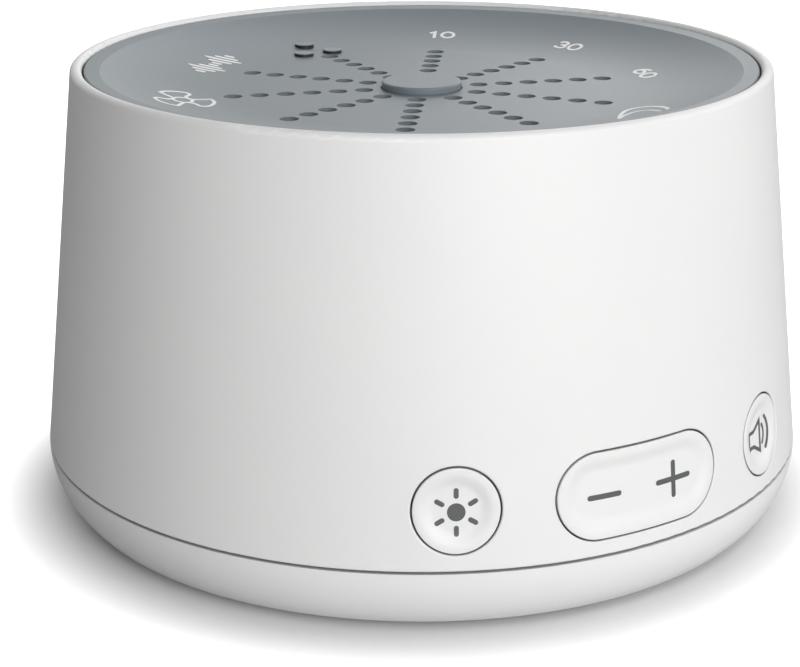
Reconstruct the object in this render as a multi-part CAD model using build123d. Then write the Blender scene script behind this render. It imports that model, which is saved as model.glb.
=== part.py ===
from build123d import *
from math import atan2, cos, hypot, radians, sin, sqrt, tan
import os

# Sleep aid light: a round table-top sound machine with a night light in its foot.
# A white tapered shell stands on an opal light ring. A grey dish with a speaker grille closes the
# top. Under the dish hangs the loudspeaker, and the foot holds the battery, the light board and the
# main board, whose side-push switches sit behind the front keys.
# Millimetres. The origin is the middle of the footprint on the table, +Z is up, and the volume key
# faces -Y. An azimuth is counted from the front towards +X.

# Shell
seam_radius = 55.0            # outside radius where the shell meets the light ring
seam_height = 9.45            # middle of the seam above the table
side_lean = 6.4               # degrees that the side leans inwards
shell_wall = 2.0
rim_top = 63.4                # top of the white rim
rim_width = 1.7
seam_gap = 0.3                # dark line between shell and light ring
ledge_thickness = 2.0         # shelf inside the rim that carries the dish
dish_lug_radius = 2.9         # ears on that shelf for the dish's screws
web_thickness = 2.0           # ribs that tie the screw bosses to the wall

# Dish
dish_gap = 0.2                # line between dish and rim
bezel_drop = 0.5              # outer edge of the bezel below the rim
bezel_width = 2.2
bezel_fall = 0.25             # fall of the bezel towards the middle
bezel_edge = 0.2              # broken corner at the bezel's outside
dish_depth = 3.9              # flat floor below the outer edge of the bezel
dish_wall = 2.0
skirt_height = 5.5
floor_inset = 1.5             # edge of the flat floor inside the loudspeaker's rim

# Grille
rays = 10
grille_margin = 2.71          # from the power key to the middle of the first hole
hole_pitch = 3.707
hole_diameter = 2.6

# Light pipes at the back of the dish
pip_count = 3
pip_spacing = 5.0
pip_gap = 0.12                # from the loudspeaker's rim to the nearest light pipe
pip_azimuth = 181.1
pip_diameter = 2.9
pip_proud = 0.45
pip_collar_wall = 0.4
pip_cap = 0.12                # head of a light pipe on top of its collar
pipe_air = 0.5                # between a light pipe and its lamp
label_step = 40.0             # degrees between the printed signs on the dish
label_azimuth = 183.3

# Keys
key_clearance = 0.4           # from a round key's flange to the light ring below it
key_angle = 26.9              # degrees from the volume key to each round key
round_key_diameter = 11.0
pill_length = 24.8
pill_height = 11.3
key_gap = 0.2                 # line between a key and its opening
key_edge = 0.25               # rounding of a key's face and of its opening
key_lip = 0.95                # raised edge round the hollow of a key
key_hollow = 0.5
hollow_taper = 20             # degrees that the hollow's edge slopes
key_travel = 0.5
rocker_tilt = 1.8             # degrees each way
sign_offset = 6.5             # from the rocker's middle to its minus and plus
key_flange = 1.2              # the flange that keeps a round key in, wide and thick
key_stop_gap = 0.3            # between that flange and the shell
stem_radius = 1.8
nib_radius = 1.5
rocker_room = 1.9             # between the rocker's back and the carrier
hub_width = 4.4
hub_tail = 0.6                # hub behind the rocker's axis
pivot_radius = 0.75
pivot_length = 1.6
pivot_fit = 0.05
slide_fit = 0.1
touch_gap = 0.1               # faces that only meet when a key is pressed
power_key_diameter = 11.3
power_key_proud = 1.0
power_key_gap = 0.15
power_key_edge = 0.3          # rounding of its rim
power_plunger_proud = 0.9
power_flange_width = 1.15
power_flange_thickness = 0.8

# Key carrier behind the wall
carrier_wall = 1.6
carrier_depth = 3.7           # from the shell's inner face at key height to the carrier
carrier_span = 76.0           # degrees
carrier_top = 11.2            # above the middle of the keys
carrier_post_height = 8.8     # its two screws above the middle of the keys
carrier_post_angle = 14.0
carrier_post_radius = 2.5
lug_thickness = 2.0
lug_width = 5.0
lug_lip = 0.8                 # wall in front of the pivot pin
lug_gap = 0.2                 # above and below the rocker
pivot_setback = 4.9           # rocker's axis behind the outside of the shell

# Foot
foot_proud = 1.0              # rubber feet below the bottom cover
foot_thickness = 1.8
foot_radius = 5.0
ring_draw_in = 3.65           # lower edge of the light ring inside the seam
tongue_height = 1.0           # the light ring's rim inside the shell
tongue_wall = 1.35
tongue_fit = 0.2
cover_thickness = 2.0
cover_lip_thickness = 1.2
cover_lip_width = 2.35
ring_edge_width = 1.75        # from the ring's lower edge to the cover
ring_flange_thickness = 1.7
part_gap = 0.25               # round a cover or board in its place
boss_inset = 13.0             # the four long screws inside the seam
boss_radius = 3.5
boss_clearance = 0.7          # from a boss to the main board
cup_wall = 1.0
cup_height = 7.0              # seat cups above the underside of the cover
screw_seat = 4.0              # head seat above the underside of the cover
boss_rise = 16.0              # bosses above the cups

# Boards
board_thickness = 1.6
light_board_thickness = 1.2
light_board_height = 3.2      # underside of the light board above the cover's underside
light_board_width = 10.55
light_board_margin = 1.2      # from the light ring's flange to the light board
rib_width = 1.0
rib_inset = 0.4               # ribs under the light board, in from its edges
main_board_height = 10.6      # underside of the main board above the cover's underside
board_margin = 0.2            # from the key switches to the edge of the main board
board_tab_width = 13.0        # tongue of the board that carries the inlet
board_tab_root = 4.0          # how far it starts inside the round edge
board_post_inset = 4.0        # main board's posts inside the light board
board_post_radius = 2.5
switch_size = 6.0
switch_depth = 3.4
switch_cap = 2.8              # switch above the middle of its plunger
switch_front = 10.7           # front of the key switches behind the outside of the shell
plunger_radius = 1.6
plunger_reach = 2.5
plunger_tail = 1.0            # the plunger's length inside its switch
plunger_spare = 0.3           # free depth behind a plunger pressed home
ring_lamps = 12
lamp_width = 3.5
lamp_depth = 1.4
lamp_height = 2.0
socket_inset = 9.0            # sockets inside the circle of the long screws
socket_size = (7.0, 4.4, 4.8)
plug_size = (6.0, 3.4, 4.0)
indicator_lead_azimuth = 230.0
wire_radius = 0.55
wire_spacing = 2.6
board_lead_radius = 0.88      # jacket round the wires to the indicator board
chip_sizes = {                # width, depth and height
    "processor_chip": (10.0, 10.0, 1.2),
    "sound_memory_chip": (5.3, 6.2, 1.8),
    "amplifier_chip": (5.0, 6.2, 1.5),
    "charging_chip": (4.0, 4.0, 0.9),
    "charging_coil": (6.0, 6.0, 3.0),
}
chip_column = 14.0            # chips to the left and right of the middle
charging_chip_inset = 6.6     # from the board's rear edge
charging_coil_inset = 8.6
capacitor_radius = 3.15
capacitor_height = 7.7
capacitor_places = [(8.0, -6.0), (16.5, -6.0)]

# Battery
battery_length = 44.0
battery_width = 30.0
battery_thickness = 5.2
battery_corner = 2.0
tape_thickness = 0.8

# USB-C inlet
inlet_width = 8.94
inlet_height = 3.26
inlet_depth = 7.0
inlet_wall = 0.3
inlet_recess = 0.9            # shallow pocket for the plug's sleeve
inlet_pocket_width = 13.0
inlet_pocket_height = 7.4
inlet_pocket_corner = 2.6
inlet_tongue_width = 6.7
inlet_tongue_thickness = 0.7
inlet_back_wall = 1.0
inlet_gap = 0.28

# Loudspeaker
gasket_width = 2.1
roll_gap = 0.2                # from the surround at full stroke to the dish
basket_sheet = 0.8
flange_thickness = 1.2
surround_rim = 2.1            # glued edge of the surround
cone_sheet = 0.5
roll_radius = 1.2
roll_sheet = 0.4
coil_radius = 10.0            # middle of the voice coil's wall
coil_wall = 0.5
coil_gap = 0.35               # on each side of the voice coil
coil_length = 9.5
cone_travel = 0.6             # each way
top_plate_thickness = 2.5
top_plate_radius = 14.0
magnet_thickness = 6.5
magnet_radius = 15.5
magnet_bore = 11.8
yoke_thickness = 3.0
speaker_post_radius = 2.2
spider_width = 6.8
spider_depth = 1.2            # spider below the cone's neck
spider_sheet = 0.35
spider_swing = 0.3
spider_waves = 3
spider_flat = 1.8             # flat outer edge of the spider
basket_depth = 3.2            # basket floor below the spider
basket_shelf = 1.6            # ledge that the spider is glued to
dust_cap_rise = 2.6
cap_clearance = 0.8           # from the dust cap at full stroke to the power key board
basket_windows = 6
window_width = 9.0
terminal_size = (10.0, 2.6, 1.2)
terminal_inset = 1.6          # its middle inside the basket's edge

# Power key board and indicator board
power_switch_height = 3.3
power_board_thickness = 1.0
power_board_length = 26.0
power_board_width = 8.6
power_post_radius = 1.6
indicator_width = 5.8
indicator_thickness = 1.2
indicator_drop = 2.8          # board below the flat underside of the dish
indicator_post_inset = 2.35   # from the board's outer edge
indicator_post_radius = 1.8
lamp_inset = 1.45             # lamps under the printed signs, from the board's inner edge
indicator_lamp = (1.6, 0.8, 0.8)
tab_margin = 2.3              # tongue of the board round the light pipes
dish_screw_inset = 2.15       # dish screws inside the dish's skirt
dish_post_radius = 2.8
ribbon_width = 2.4
ribbon_sheet = 0.5

# Screws: shank radius, head radius and head height, and the clearance in a pilot or a free hole
long_screw = (1.5, 2.8, 1.8)
long_reach = 10.0             # of the long screws into their bosses
board_screw = (1.1, 2.2, 1.5)
dish_screw = (1.1, 1.9, 1.5)
speaker_screw = (1.3, 3.0, 1.4)
carrier_screw = (0.9, 2.0, 1.4)
indicator_screw = (0.8, 1.6, 1.1)
power_screw = (0.8, 1.4, 0.9)
screw_fit = 0.05
free_fit = 0.2
hole_floor = 1.0              # solid plastic beyond a blind screw hole
tip_gap = 0.2                 # from a screw's tip to the end of its hole

# Heights and radii that follow from the driving sizes
lean = tan(radians(side_lean))
wall_across = shell_wall / cos(radians(side_lean))


def side_radius(z):
    return seam_radius - (z - seam_height) * lean


def inner_radius(z):
    return side_radius(z) - wall_across


shell_bottom = seam_height + seam_gap / 2
ring_top = seam_height - seam_gap / 2
tongue_top = ring_top + tongue_height
tongue_outer = inner_radius(tongue_top) - tongue_fit
tongue_inner = tongue_outer - tongue_wall
base_edge_radius = seam_radius - ring_draw_in

# Dish, the circles of screws under it and the loudspeaker that fills the room between them
bezel_z = rim_top - bezel_drop
rim_round_z = rim_top - rim_width / 2
rim_inner = side_radius(rim_round_z) - rim_width
dish_radius = rim_inner - dish_gap
floor_z = bezel_z - dish_depth
dish_under = floor_z - dish_wall
skirt_bottom = bezel_z - skirt_height
skirt_inner = dish_radius - dish_wall
ledge_bottom = skirt_bottom - ledge_thickness
dish_screw_circle = skirt_inner - dish_screw_inset
indicator_outer = dish_screw_circle - dish_post_radius - part_gap
indicator_inner = indicator_outer - indicator_width
indicator_post_circle = indicator_outer - indicator_post_inset
label_lamp_radius = indicator_inner + lamp_inset
indicator_top = dish_under - indicator_drop
indicator_bottom = indicator_top - indicator_thickness
speaker_screw_circle = indicator_inner - speaker_screw[1] - part_gap
speaker_radius = speaker_screw_circle - speaker_post_radius - free_fit
floor_radius = speaker_radius - floor_inset
bezel_inner = dish_radius - bezel_width
bezel_inner_z = bezel_z - bezel_fall
bowl_run = bezel_inner - floor_radius
bowl_rise = bezel_inner_z - floor_z
bowl_radius = (bowl_run ** 2 + bowl_rise ** 2) / (2 * bowl_rise)
first_hole_radius = power_key_diameter / 2 + grille_margin
holes_per_ray = 1 + int((floor_radius - first_hole_radius) / hole_pitch)

# Front keys
key_z = tongue_top + key_clearance + key_flange + round_key_diameter / 2
key_face = side_radius(key_z)
key_back = inner_radius(key_z) - key_stop_gap - key_flange
carrier_outer = inner_radius(key_z) - carrier_depth
carrier_inner = carrier_outer - carrier_wall
switch_face = key_face - switch_front
pivot_u = key_face - pivot_setback
plunger_tip = switch_face + plunger_reach
plunger_room = key_travel + plunger_spare
rocker_back = carrier_outer + rocker_room
nib_swing = (pivot_u - carrier_inner) * sin(radians(rocker_tilt))

# Foot
cover_z = foot_proud
cover_inner_z = cover_z + cover_thickness
cover_lip_z = cover_z + cover_lip_thickness
cover_radius = base_edge_radius - ring_edge_width - part_gap
cover_step_radius = cover_radius - cover_lip_width
ring_flange_inner = cover_step_radius + part_gap
ring_flange_z = cover_lip_z + ring_flange_thickness
boss_circle = seam_radius - boss_inset
well_radius = long_screw[1] + free_fit
cup_radius = well_radius + cup_wall
cup_top = cover_z + cup_height
seat_z = cover_z + screw_seat
boss_top = cup_top + boss_rise
light_board_z = cover_z + light_board_height
light_board_outer = ring_flange_inner - light_board_margin - 2 * part_gap
light_board_inner = light_board_outer - light_board_width
board_post_circle = light_board_inner - board_post_inset
main_board_z = cover_z + main_board_height
main_board_top = main_board_z + board_thickness
main_board_radius = hypot(switch_face, sign_offset + switch_size / 2) + board_margin
socket_circle = boss_circle - socket_inset
socket_top = main_board_top + socket_size[2]
plug_top = socket_top + plug_size[2]
battery_z = cover_inner_z + tape_thickness
inlet_z = main_board_top + inlet_height / 2
inlet_mouth = side_radius(inlet_z) - inlet_recess - free_fit
chip_places = {
    "processor_chip": (-chip_column, 8.0),
    "sound_memory_chip": (-chip_column, -7.0),
    "amplifier_chip": (chip_column, 12.0),
    "charging_chip": (9.0, main_board_radius - charging_chip_inset),
    "charging_coil": (-9.5, main_board_radius - charging_coil_inset),
}

# Power key, its board, and the loudspeaker's heights below them
power_board_azimuth = 180.0 / rays
power_flange_radius = power_key_diameter / 2 + power_flange_width
power_flange_top = dish_under - touch_gap
power_flange_bottom = power_flange_top - power_flange_thickness
power_board_top = power_flange_bottom - power_plunger_proud - power_switch_height
power_board_bottom = power_board_top - power_board_thickness
power_post_circle = power_board_length / 2 - 1.5 * ribbon_sheet - power_post_radius - touch_gap
gasket_thickness = roll_radius + cone_travel + roll_gap
speaker_top = dish_under - gasket_thickness
flange_bottom = speaker_top - flange_thickness
coil_top = power_board_bottom - cap_clearance - cone_travel - dust_cap_rise
cone_low = coil_top - cone_sheet
coil_outer = coil_radius + coil_wall / 2
coil_inner = coil_radius - coil_wall / 2
plate_bore = coil_outer + coil_gap
pole_radius = coil_inner - coil_gap
roll_outer = speaker_radius - gasket_width - surround_rim
roll_middle = roll_outer - roll_radius
cone_radius = roll_middle - roll_radius
basket_inner = roll_outer + roll_gap
spider_z = cone_low - spider_depth
spider_outer = coil_outer + spider_width
basket_floor = spider_z - basket_depth
plate_top = basket_floor
magnet_top = plate_top - top_plate_thickness
yoke_top = magnet_top - magnet_thickness
yoke_bottom = yoke_top - yoke_thickness
terminal_z = flange_bottom - terminal_size[2]
terminal_y = speaker_radius - terminal_inset


def bowl_z(r):
    """Height of the dish's upper face at a radius."""
    if r <= floor_radius:
        return floor_z
    return floor_z + bowl_radius - sqrt(bowl_radius ** 2 - (r - floor_radius) ** 2)


def spot(r, azimuth, z=0.0):
    a = radians(azimuth)
    return (r * sin(a), -r * cos(a), z)


def lathe(*points):
    """Turn a closed outline of (radius, height) corners about the upright axis."""
    outline = Polyline(*[(r, 0, z) for r, z in points], close=True)
    return revolve(make_face(outline), Axis.Z)


def spun(*edges):
    """Turn a closed outline of edges in the XZ plane about the upright axis."""
    return revolve(make_face(Curve() + list(edges)), Axis.Z)


def line(a, b):
    return Line((a[0], 0, a[1]), (b[0], 0, b[1]))


def arc(a, middle, b):
    return ThreePointArc((a[0], 0, a[1]), (middle[0], 0, middle[1]), (b[0], 0, b[1]))


def rod(radius, z_low, z_high, place=(0.0, 0.0, 0.0)):
    upright = Cylinder(radius, z_high - z_low, align=(Align.CENTER, Align.CENTER, Align.MIN))
    return Pos(place[0], place[1], z_low) * upright


def tube(inner, outer, z_low, z_high):
    return lathe((inner, z_low), (outer, z_low), (outer, z_high), (inner, z_high))


def block(x_size, y_size, z_low, z_high, place=(0.0, 0.0, 0.0)):
    box = Box(x_size, y_size, z_high - z_low, align=(Align.CENTER, Align.CENTER, Align.MIN))
    return Pos(place[0], place[1], z_low) * box


def turned(shape, azimuth):
    return Rot(0, 0, azimuth) * shape


def around(shape, azimuths):
    return [turned(shape, azimuth) for azimuth in azimuths]


def spread(count, start=0.0):
    return [start + 360.0 * i / count for i in range(count)]


def prism(outline, u_from, u_to, z, across=0.0):
    """Push a flat outline straight out at the front, from one distance off the axis to another."""
    front = Plane(origin=(across, -u_from, z), x_dir=(1, 0, 0), z_dir=(0, -1, 0))
    return extrude(front * outline, amount=u_to - u_from)


def outline_on_side(shape, z, reach):
    """The edges of a shape that lie in the shell's outer face within a distance of a height."""
    def lies(edge):
        points = [edge @ share for share in (0.0, 0.3, 0.7, 1.0)]
        return all(abs(hypot(p.X, p.Y) - side_radius(p.Z)) < 0.005 and abs(p.Z - z) < reach for p in points)
    return [edge for edge in shape.edges() if lies(edge)]


def side_solid(inset):
    """The whole cone inside the shell's outer face, drawn in by a distance."""
    return lathe((0, 0), (side_radius(0) - inset, 0), (side_radius(rim_top) - inset, rim_top), (0, rim_top))


def lead(points, radius, bend):
    """A wire that runs straight between corners rounded to one bend radius."""
    path = FilletPolyline(*points, radius=bend) if len(points) > 2 else Line(*points)
    return sweep(Plane(origin=path @ 0, z_dir=path % 0) * Circle(radius), path=path)


boss_azimuths = spread(4, 45.0)
dish_screw_azimuths = spread(4, 0.0)
speaker_screw_azimuths = spread(4, 45.0)
indicator_screw_azimuths = spread(3, 100.0)
power_board_azimuths = spread(2, power_board_azimuth)
board_post_azimuths = [30.0, 150.0, 210.0, 330.0]
label_azimuths = [label_azimuth + label_step * k for k in range(1, 9)]
carrier_post_azimuths = [-carrier_post_angle, carrier_post_angle]


def pip_spots():
    """Middles of the light pipes: one points outwards and the inmost two clear the loudspeaker."""
    group = pip_spacing / (2 * sin(radians(180.0 / pip_count)))
    inmost = radians(180.0 - 180.0 / pip_count)
    clear = speaker_radius + pip_gap + pip_diameter / 2 - pip_collar_wall
    middle = sqrt(clear ** 2 - (group * sin(inmost)) ** 2) - group * cos(inmost)
    places = []
    for k in range(pip_count):
        out = 360.0 * k / pip_count
        u = middle + group * cos(radians(out))
        t = group * sin(radians(out))
        a = radians(pip_azimuth)
        places.append((u * sin(a) + t * cos(a), -u * cos(a) + t * sin(a)))
    return places


# Shell with the rim, the shelf for the dish, the screw bosses and every opening in its wall


def make_shell():
    ledge_inner = skirt_inner
    slope_z = ledge_bottom - (inner_radius(ledge_bottom) - ledge_inner)
    outer_low = (side_radius(shell_bottom), shell_bottom)
    outer_high = (side_radius(rim_round_z), rim_round_z)
    crown = (rim_inner + rim_width / 2, rim_top)
    rim_in = (rim_inner, rim_round_z)
    shelf_out = (rim_inner, skirt_bottom)
    shelf_in = (ledge_inner, skirt_bottom)
    shelf_low = (ledge_inner, ledge_bottom)
    wall_high = (inner_radius(slope_z), slope_z)
    wall_low = (inner_radius(shell_bottom), shell_bottom)
    shell = spun(
        line(outer_low, outer_high), arc(outer_high, crown, rim_in), line(rim_in, shelf_out),
        line(shelf_out, shelf_in), line(shelf_in, shelf_low), line(shelf_low, wall_high),
        line(wall_high, wall_low), line(wall_low, outer_low))

    lug = rod(dish_lug_radius, ledge_bottom, skirt_bottom, spot(dish_screw_circle, 0))
    arm_length = ledge_inner + 1 - dish_screw_circle
    arm = block(2 * dish_lug_radius, arm_length, ledge_bottom, skirt_bottom,
                spot(dish_screw_circle + arm_length / 2, 0))
    shell += around(lug + arm, dish_screw_azimuths)

    boss = rod(boss_radius, cup_top, boss_top, spot(boss_circle, 0))
    web_reach = inner_radius(boss_top) + 0.5 - boss_circle
    web = block(web_thickness, web_reach, tongue_top, boss_top, spot(boss_circle + web_reach / 2, 0))
    shell += around(boss + web, boss_azimuths)
    pilot = rod(long_screw[0] + screw_fit, cup_top - 1, cup_top + long_reach + 1, spot(boss_circle, 0))
    shell -= around(pilot, boss_azimuths)

    post_z = key_z + carrier_post_height
    post_end = carrier_outer + touch_gap
    post = prism(Circle(carrier_post_radius), post_end, inner_radius(post_z) + 1, post_z)
    post -= prism(Circle(carrier_screw[0] + screw_fit), post_end - 1, inner_radius(post_z), post_z)
    shell += around(post, carrier_post_azimuths)

    shell -= around(rod(dish_screw[0] + free_fit, ledge_bottom - 1, skirt_bottom + 1,
                        spot(dish_screw_circle, 0)), dish_screw_azimuths)
    round_opening = prism(Circle(round_key_diameter / 2 + key_gap), carrier_outer, key_face + 2, key_z)
    pill_opening = prism(SlotOverall(pill_length + 2 * key_gap, pill_height + 2 * key_gap),
                         carrier_outer, key_face + 2, key_z)
    shell -= around(round_opening, [-key_angle, key_angle])
    shell -= pill_opening
    shell = fillet(outline_on_side(shell, key_z, pill_height), key_edge)

    inlet_hole = prism(RectangleRounded(inlet_width + 2 * inlet_gap, inlet_height + 2 * inlet_gap,
                                        (inlet_height + 2 * inlet_gap) / 2 - 0.05),
                       inner_radius(inlet_z) - 2, side_radius(inlet_z) + 2, inlet_z)
    pocket_outline = RectangleRounded(inlet_pocket_width, inlet_pocket_height, inlet_pocket_corner)
    pocket = prism(pocket_outline, inner_radius(inlet_z) - 2, side_radius(inlet_z) + 2, inlet_z)
    pocket -= side_solid(inlet_recess / cos(radians(side_lean)))
    shell -= around(inlet_hole + pocket, [180.0])
    return shell


def make_light_ring():
    drop = ring_top - cover_z
    draw_in = seam_radius - base_edge_radius
    curve = (drop ** 2 + draw_in ** 2) / (2 * draw_in)
    half_turn = atan2(drop, curve - draw_in) / 2
    middle = (seam_radius - curve * (1 - cos(half_turn)), ring_top - curve * sin(half_turn))
    top_out = (seam_radius, ring_top)
    edge = (base_edge_radius, cover_z)
    under = (base_edge_radius - ring_edge_width, cover_z)
    step = (base_edge_radius - ring_edge_width, cover_lip_z)
    flange_low = (ring_flange_inner, cover_lip_z)
    flange_high = (ring_flange_inner, ring_flange_z)
    wall_foot = (base_edge_radius - ring_edge_width, ring_flange_z)
    wall_knee = (tongue_inner, ring_flange_z + 2.8)
    tongue_in = (tongue_inner, tongue_top)
    tongue_out = (tongue_outer, tongue_top)
    shoulder = (tongue_outer, ring_top)
    return spun(
        arc(top_out, middle, edge), line(edge, under), line(under, step), line(step, flange_low),
        line(flange_low, flange_high), line(flange_high, wall_foot), line(wall_foot, wall_knee),
        line(wall_knee, tongue_in), line(tongue_in, tongue_out), line(tongue_out, shoulder),
        line(shoulder, top_out))


# Dish with its grille, key hole, light pipe holes and the posts that hang from it


def dish_profile():
    centre_z = floor_z + bowl_radius
    under_radius = bowl_radius + dish_wall

    def over(r):
        return (r, bowl_z(r))

    def beneath(r):
        return (r, centre_z - sqrt(under_radius ** 2 - (r - floor_radius) ** 2))

    middle = (floor_radius + bezel_inner) / 2
    under_middle = (floor_radius + skirt_inner) / 2
    return spun(
        line((0, floor_z), (floor_radius, floor_z)),
        arc((floor_radius, floor_z), over(middle), (bezel_inner, bezel_inner_z)),
        line((bezel_inner, bezel_inner_z), (dish_radius - bezel_edge, bezel_z)),
        line((dish_radius - bezel_edge, bezel_z), (dish_radius, bezel_z - bezel_edge)),
        line((dish_radius, bezel_z - bezel_edge), (dish_radius, skirt_bottom)),
        line((dish_radius, skirt_bottom), (skirt_inner, skirt_bottom)),
        line((skirt_inner, skirt_bottom), beneath(skirt_inner)),
        arc(beneath(skirt_inner), beneath(under_middle), (floor_radius, dish_under)),
        line((floor_radius, dish_under), (0, dish_under)),
        line((0, dish_under), (0, floor_z)))


def hole_top(r):
    """End of the blind screw hole in a post under the dish."""
    return bowl_z(r) - dish_wall / 2 - hole_floor / 2


def hanging_post(radius, shank, z_end, place):
    """A post under the dish and the blind screw hole in it from below."""
    r = hypot(place[0], place[1])
    post = rod(radius, z_end, bowl_z(r) - dish_wall / 2, place)
    return post, rod(shank + screw_fit, z_end - 0.5, hole_top(r), place)


def make_dish():
    dish = dish_profile()
    posts = []
    for azimuth in speaker_screw_azimuths:
        posts.append(hanging_post(speaker_post_radius, speaker_screw[0], flange_bottom + touch_gap,
                                  spot(speaker_screw_circle, azimuth)))
    for azimuth in dish_screw_azimuths:
        posts.append(hanging_post(dish_post_radius, dish_screw[0], skirt_bottom,
                                  spot(dish_screw_circle, azimuth)))
    for azimuth in indicator_screw_azimuths:
        posts.append(hanging_post(indicator_post_radius, indicator_screw[0], indicator_top,
                                  spot(indicator_post_circle, azimuth)))
    for azimuth in power_board_azimuths:
        posts.append(hanging_post(power_post_radius, power_screw[0], power_board_top,
                                  spot(power_post_circle, azimuth)))
    dish += [post for post, pilot in posts]
    dish -= [pilot for post, pilot in posts]

    ray = [rod(hole_diameter / 2, dish_under - 1, floor_z + 1,
               spot(first_hole_radius + hole_pitch * k, 0)) for k in range(holes_per_ray)]
    grille = [hole for azimuth in spread(rays) for hole in around(Compound(ray), [azimuth])]
    dish -= grille
    dish -= rod(power_key_diameter / 2 + power_key_gap, dish_under - 1, floor_z + 1)
    pip_hole = pip_diameter / 2 + screw_fit
    dish -= [rod(pip_hole, dish_under - 1, bezel_z, (x, y)) for x, y in pip_spots()]
    return dish


def make_pips():
    collars = []
    pipes = []
    for x, y in pip_spots():
        top = bowl_z(hypot(x, y)) + pip_proud
        radius = pip_diameter / 2
        bore = radius - pip_collar_wall
        low = dish_under + free_fit
        collar = rod(radius, low, top - pip_cap, (x, y)) - rod(bore, low - 1, top + 1, (x, y))
        collars.append(collar)
        foot = indicator_top + indicator_lamp[2] + pipe_air
        head = rod(radius, top - pip_cap, top, (x, y))
        pipes.append(rod(bore - screw_fit, foot, top, (x, y)) + head)
    return collars, pipes


# Front keys. Each is a straight plug through the wall whose face follows the shell.


def key_plug(outline, hollow_outline, back):
    plug = prism(outline, back, key_face + 2, key_z) & side_solid(0)
    plug = fillet(outline_on_side(plug, key_z, pill_height), key_edge)
    inward = Plane(origin=(0, -key_face, key_z), x_dir=(1, 0, 0), z_dir=(0, 1, 0))
    hollow = extrude(inward * hollow_outline, amount=2 * shell_wall, taper=hollow_taper)
    hollow += prism(hollow_outline, key_face, key_face + 1, key_z)
    hollow -= side_solid(key_hollow)
    return plug - hollow


def make_round_key():
    radius = round_key_diameter / 2
    plug = key_plug(Circle(radius), Circle(radius - key_lip), key_back)
    flange = prism(Circle(radius + key_flange), key_back, key_face, key_z)
    flange &= side_solid(wall_across + key_stop_gap)
    stem = prism(Circle(stem_radius), plunger_tip, key_back, key_z)
    return plug + flange + stem


def make_rocker():
    outline = SlotOverall(pill_length, pill_height)
    hollow = SlotOverall(pill_length - 2 * key_lip, pill_height - 2 * key_lip)
    plug = key_plug(outline, hollow, rocker_back)
    half = pill_height / 2
    hub_back = pivot_u - hub_tail
    hub = block(hub_width, rocker_back + 1 - hub_back, key_z - half, key_z + half,
                (0, -(hub_back + rocker_back + 1) / 2))
    pin = rod(pivot_radius, key_z - half - pivot_length, key_z + half + pivot_length, (0, -pivot_u))
    nibs = [prism(Circle(nib_radius), plunger_tip + touch_gap, rocker_back, key_z, across)
            for across in (-sign_offset, sign_offset)]
    return plug + hub + pin + nibs


def make_carrier():
    half = pill_height / 2
    low = key_z - half - lug_gap - lug_thickness
    high = key_z + carrier_top
    profile = Polyline((carrier_inner, 0, low), (carrier_outer, 0, low), (carrier_outer, 0, high),
                       (carrier_inner, 0, high), close=True)
    carrier = revolve(make_face(profile), Axis.Z, revolution_arc=carrier_span)
    carrier = turned(carrier, -90 - carrier_span / 2)

    lug_out = pivot_u + pivot_radius + lug_lip
    lug_length = lug_out - carrier_inner - carrier_wall / 4
    lug_y = -(lug_out - lug_length / 2)
    for z in (low, key_z + half + lug_gap):
        carrier += block(lug_width, lug_length, z, z + lug_thickness, (0, lug_y))
    carrier -= rod(pivot_radius + pivot_fit, low - 1, high + 1, (0, -pivot_u))

    stem_hole = prism(Circle(stem_radius + slide_fit), carrier_inner - 2, carrier_outer + 2, key_z)
    carrier -= around(stem_hole, [-key_angle, key_angle])
    nib_hole = Circle(nib_radius + nib_swing + free_fit)
    carrier -= [prism(nib_hole, carrier_inner - 2, carrier_outer + 2, key_z, across)
                for across in (-sign_offset, sign_offset)]
    screw_hole = prism(Circle(carrier_screw[0] + free_fit), carrier_inner - 2, carrier_outer + 2,
                       key_z + carrier_post_height)
    carrier -= around(screw_hole, carrier_post_azimuths)
    return carrier


def make_carrier_screws():
    z = key_z + carrier_post_height
    shank, head, head_height = carrier_screw
    seat = carrier_inner - touch_gap
    screw = prism(Circle(head), seat - head_height, seat, z)
    screw += prism(Circle(shank), seat, inner_radius(z) - free_fit, z)
    return around(screw, carrier_post_azimuths)


def switch_at_front(across=0.0):
    body = block(switch_size, switch_depth, main_board_top, key_z + switch_cap,
                 (across, -(switch_face - switch_depth / 2)))
    bore_end = switch_face - plunger_tail - plunger_room
    return body - prism(Circle(plunger_radius + slide_fit), bore_end, switch_face + 1, key_z, across)


def plunger_at_front(across=0.0):
    return prism(Circle(plunger_radius), switch_face - plunger_tail, plunger_tip, key_z, across)


def make_power_key():
    radius = power_key_diameter / 2
    top = floor_z + power_key_proud
    edge = power_key_edge
    return spun(
        line((0, power_flange_bottom), (power_flange_radius, power_flange_bottom)),
        line((power_flange_radius, power_flange_bottom), (power_flange_radius, power_flange_top)),
        line((power_flange_radius, power_flange_top), (radius, power_flange_top)),
        line((radius, power_flange_top), (radius, top - edge)),
        arc((radius, top - edge), (radius - edge * 0.293, top - edge * 0.293), (radius - edge, top)),
        line((radius - edge, top), (0, top)),
        line((0, top), (0, power_flange_bottom)))


# Loudspeaker, mouth up under the grille


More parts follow.
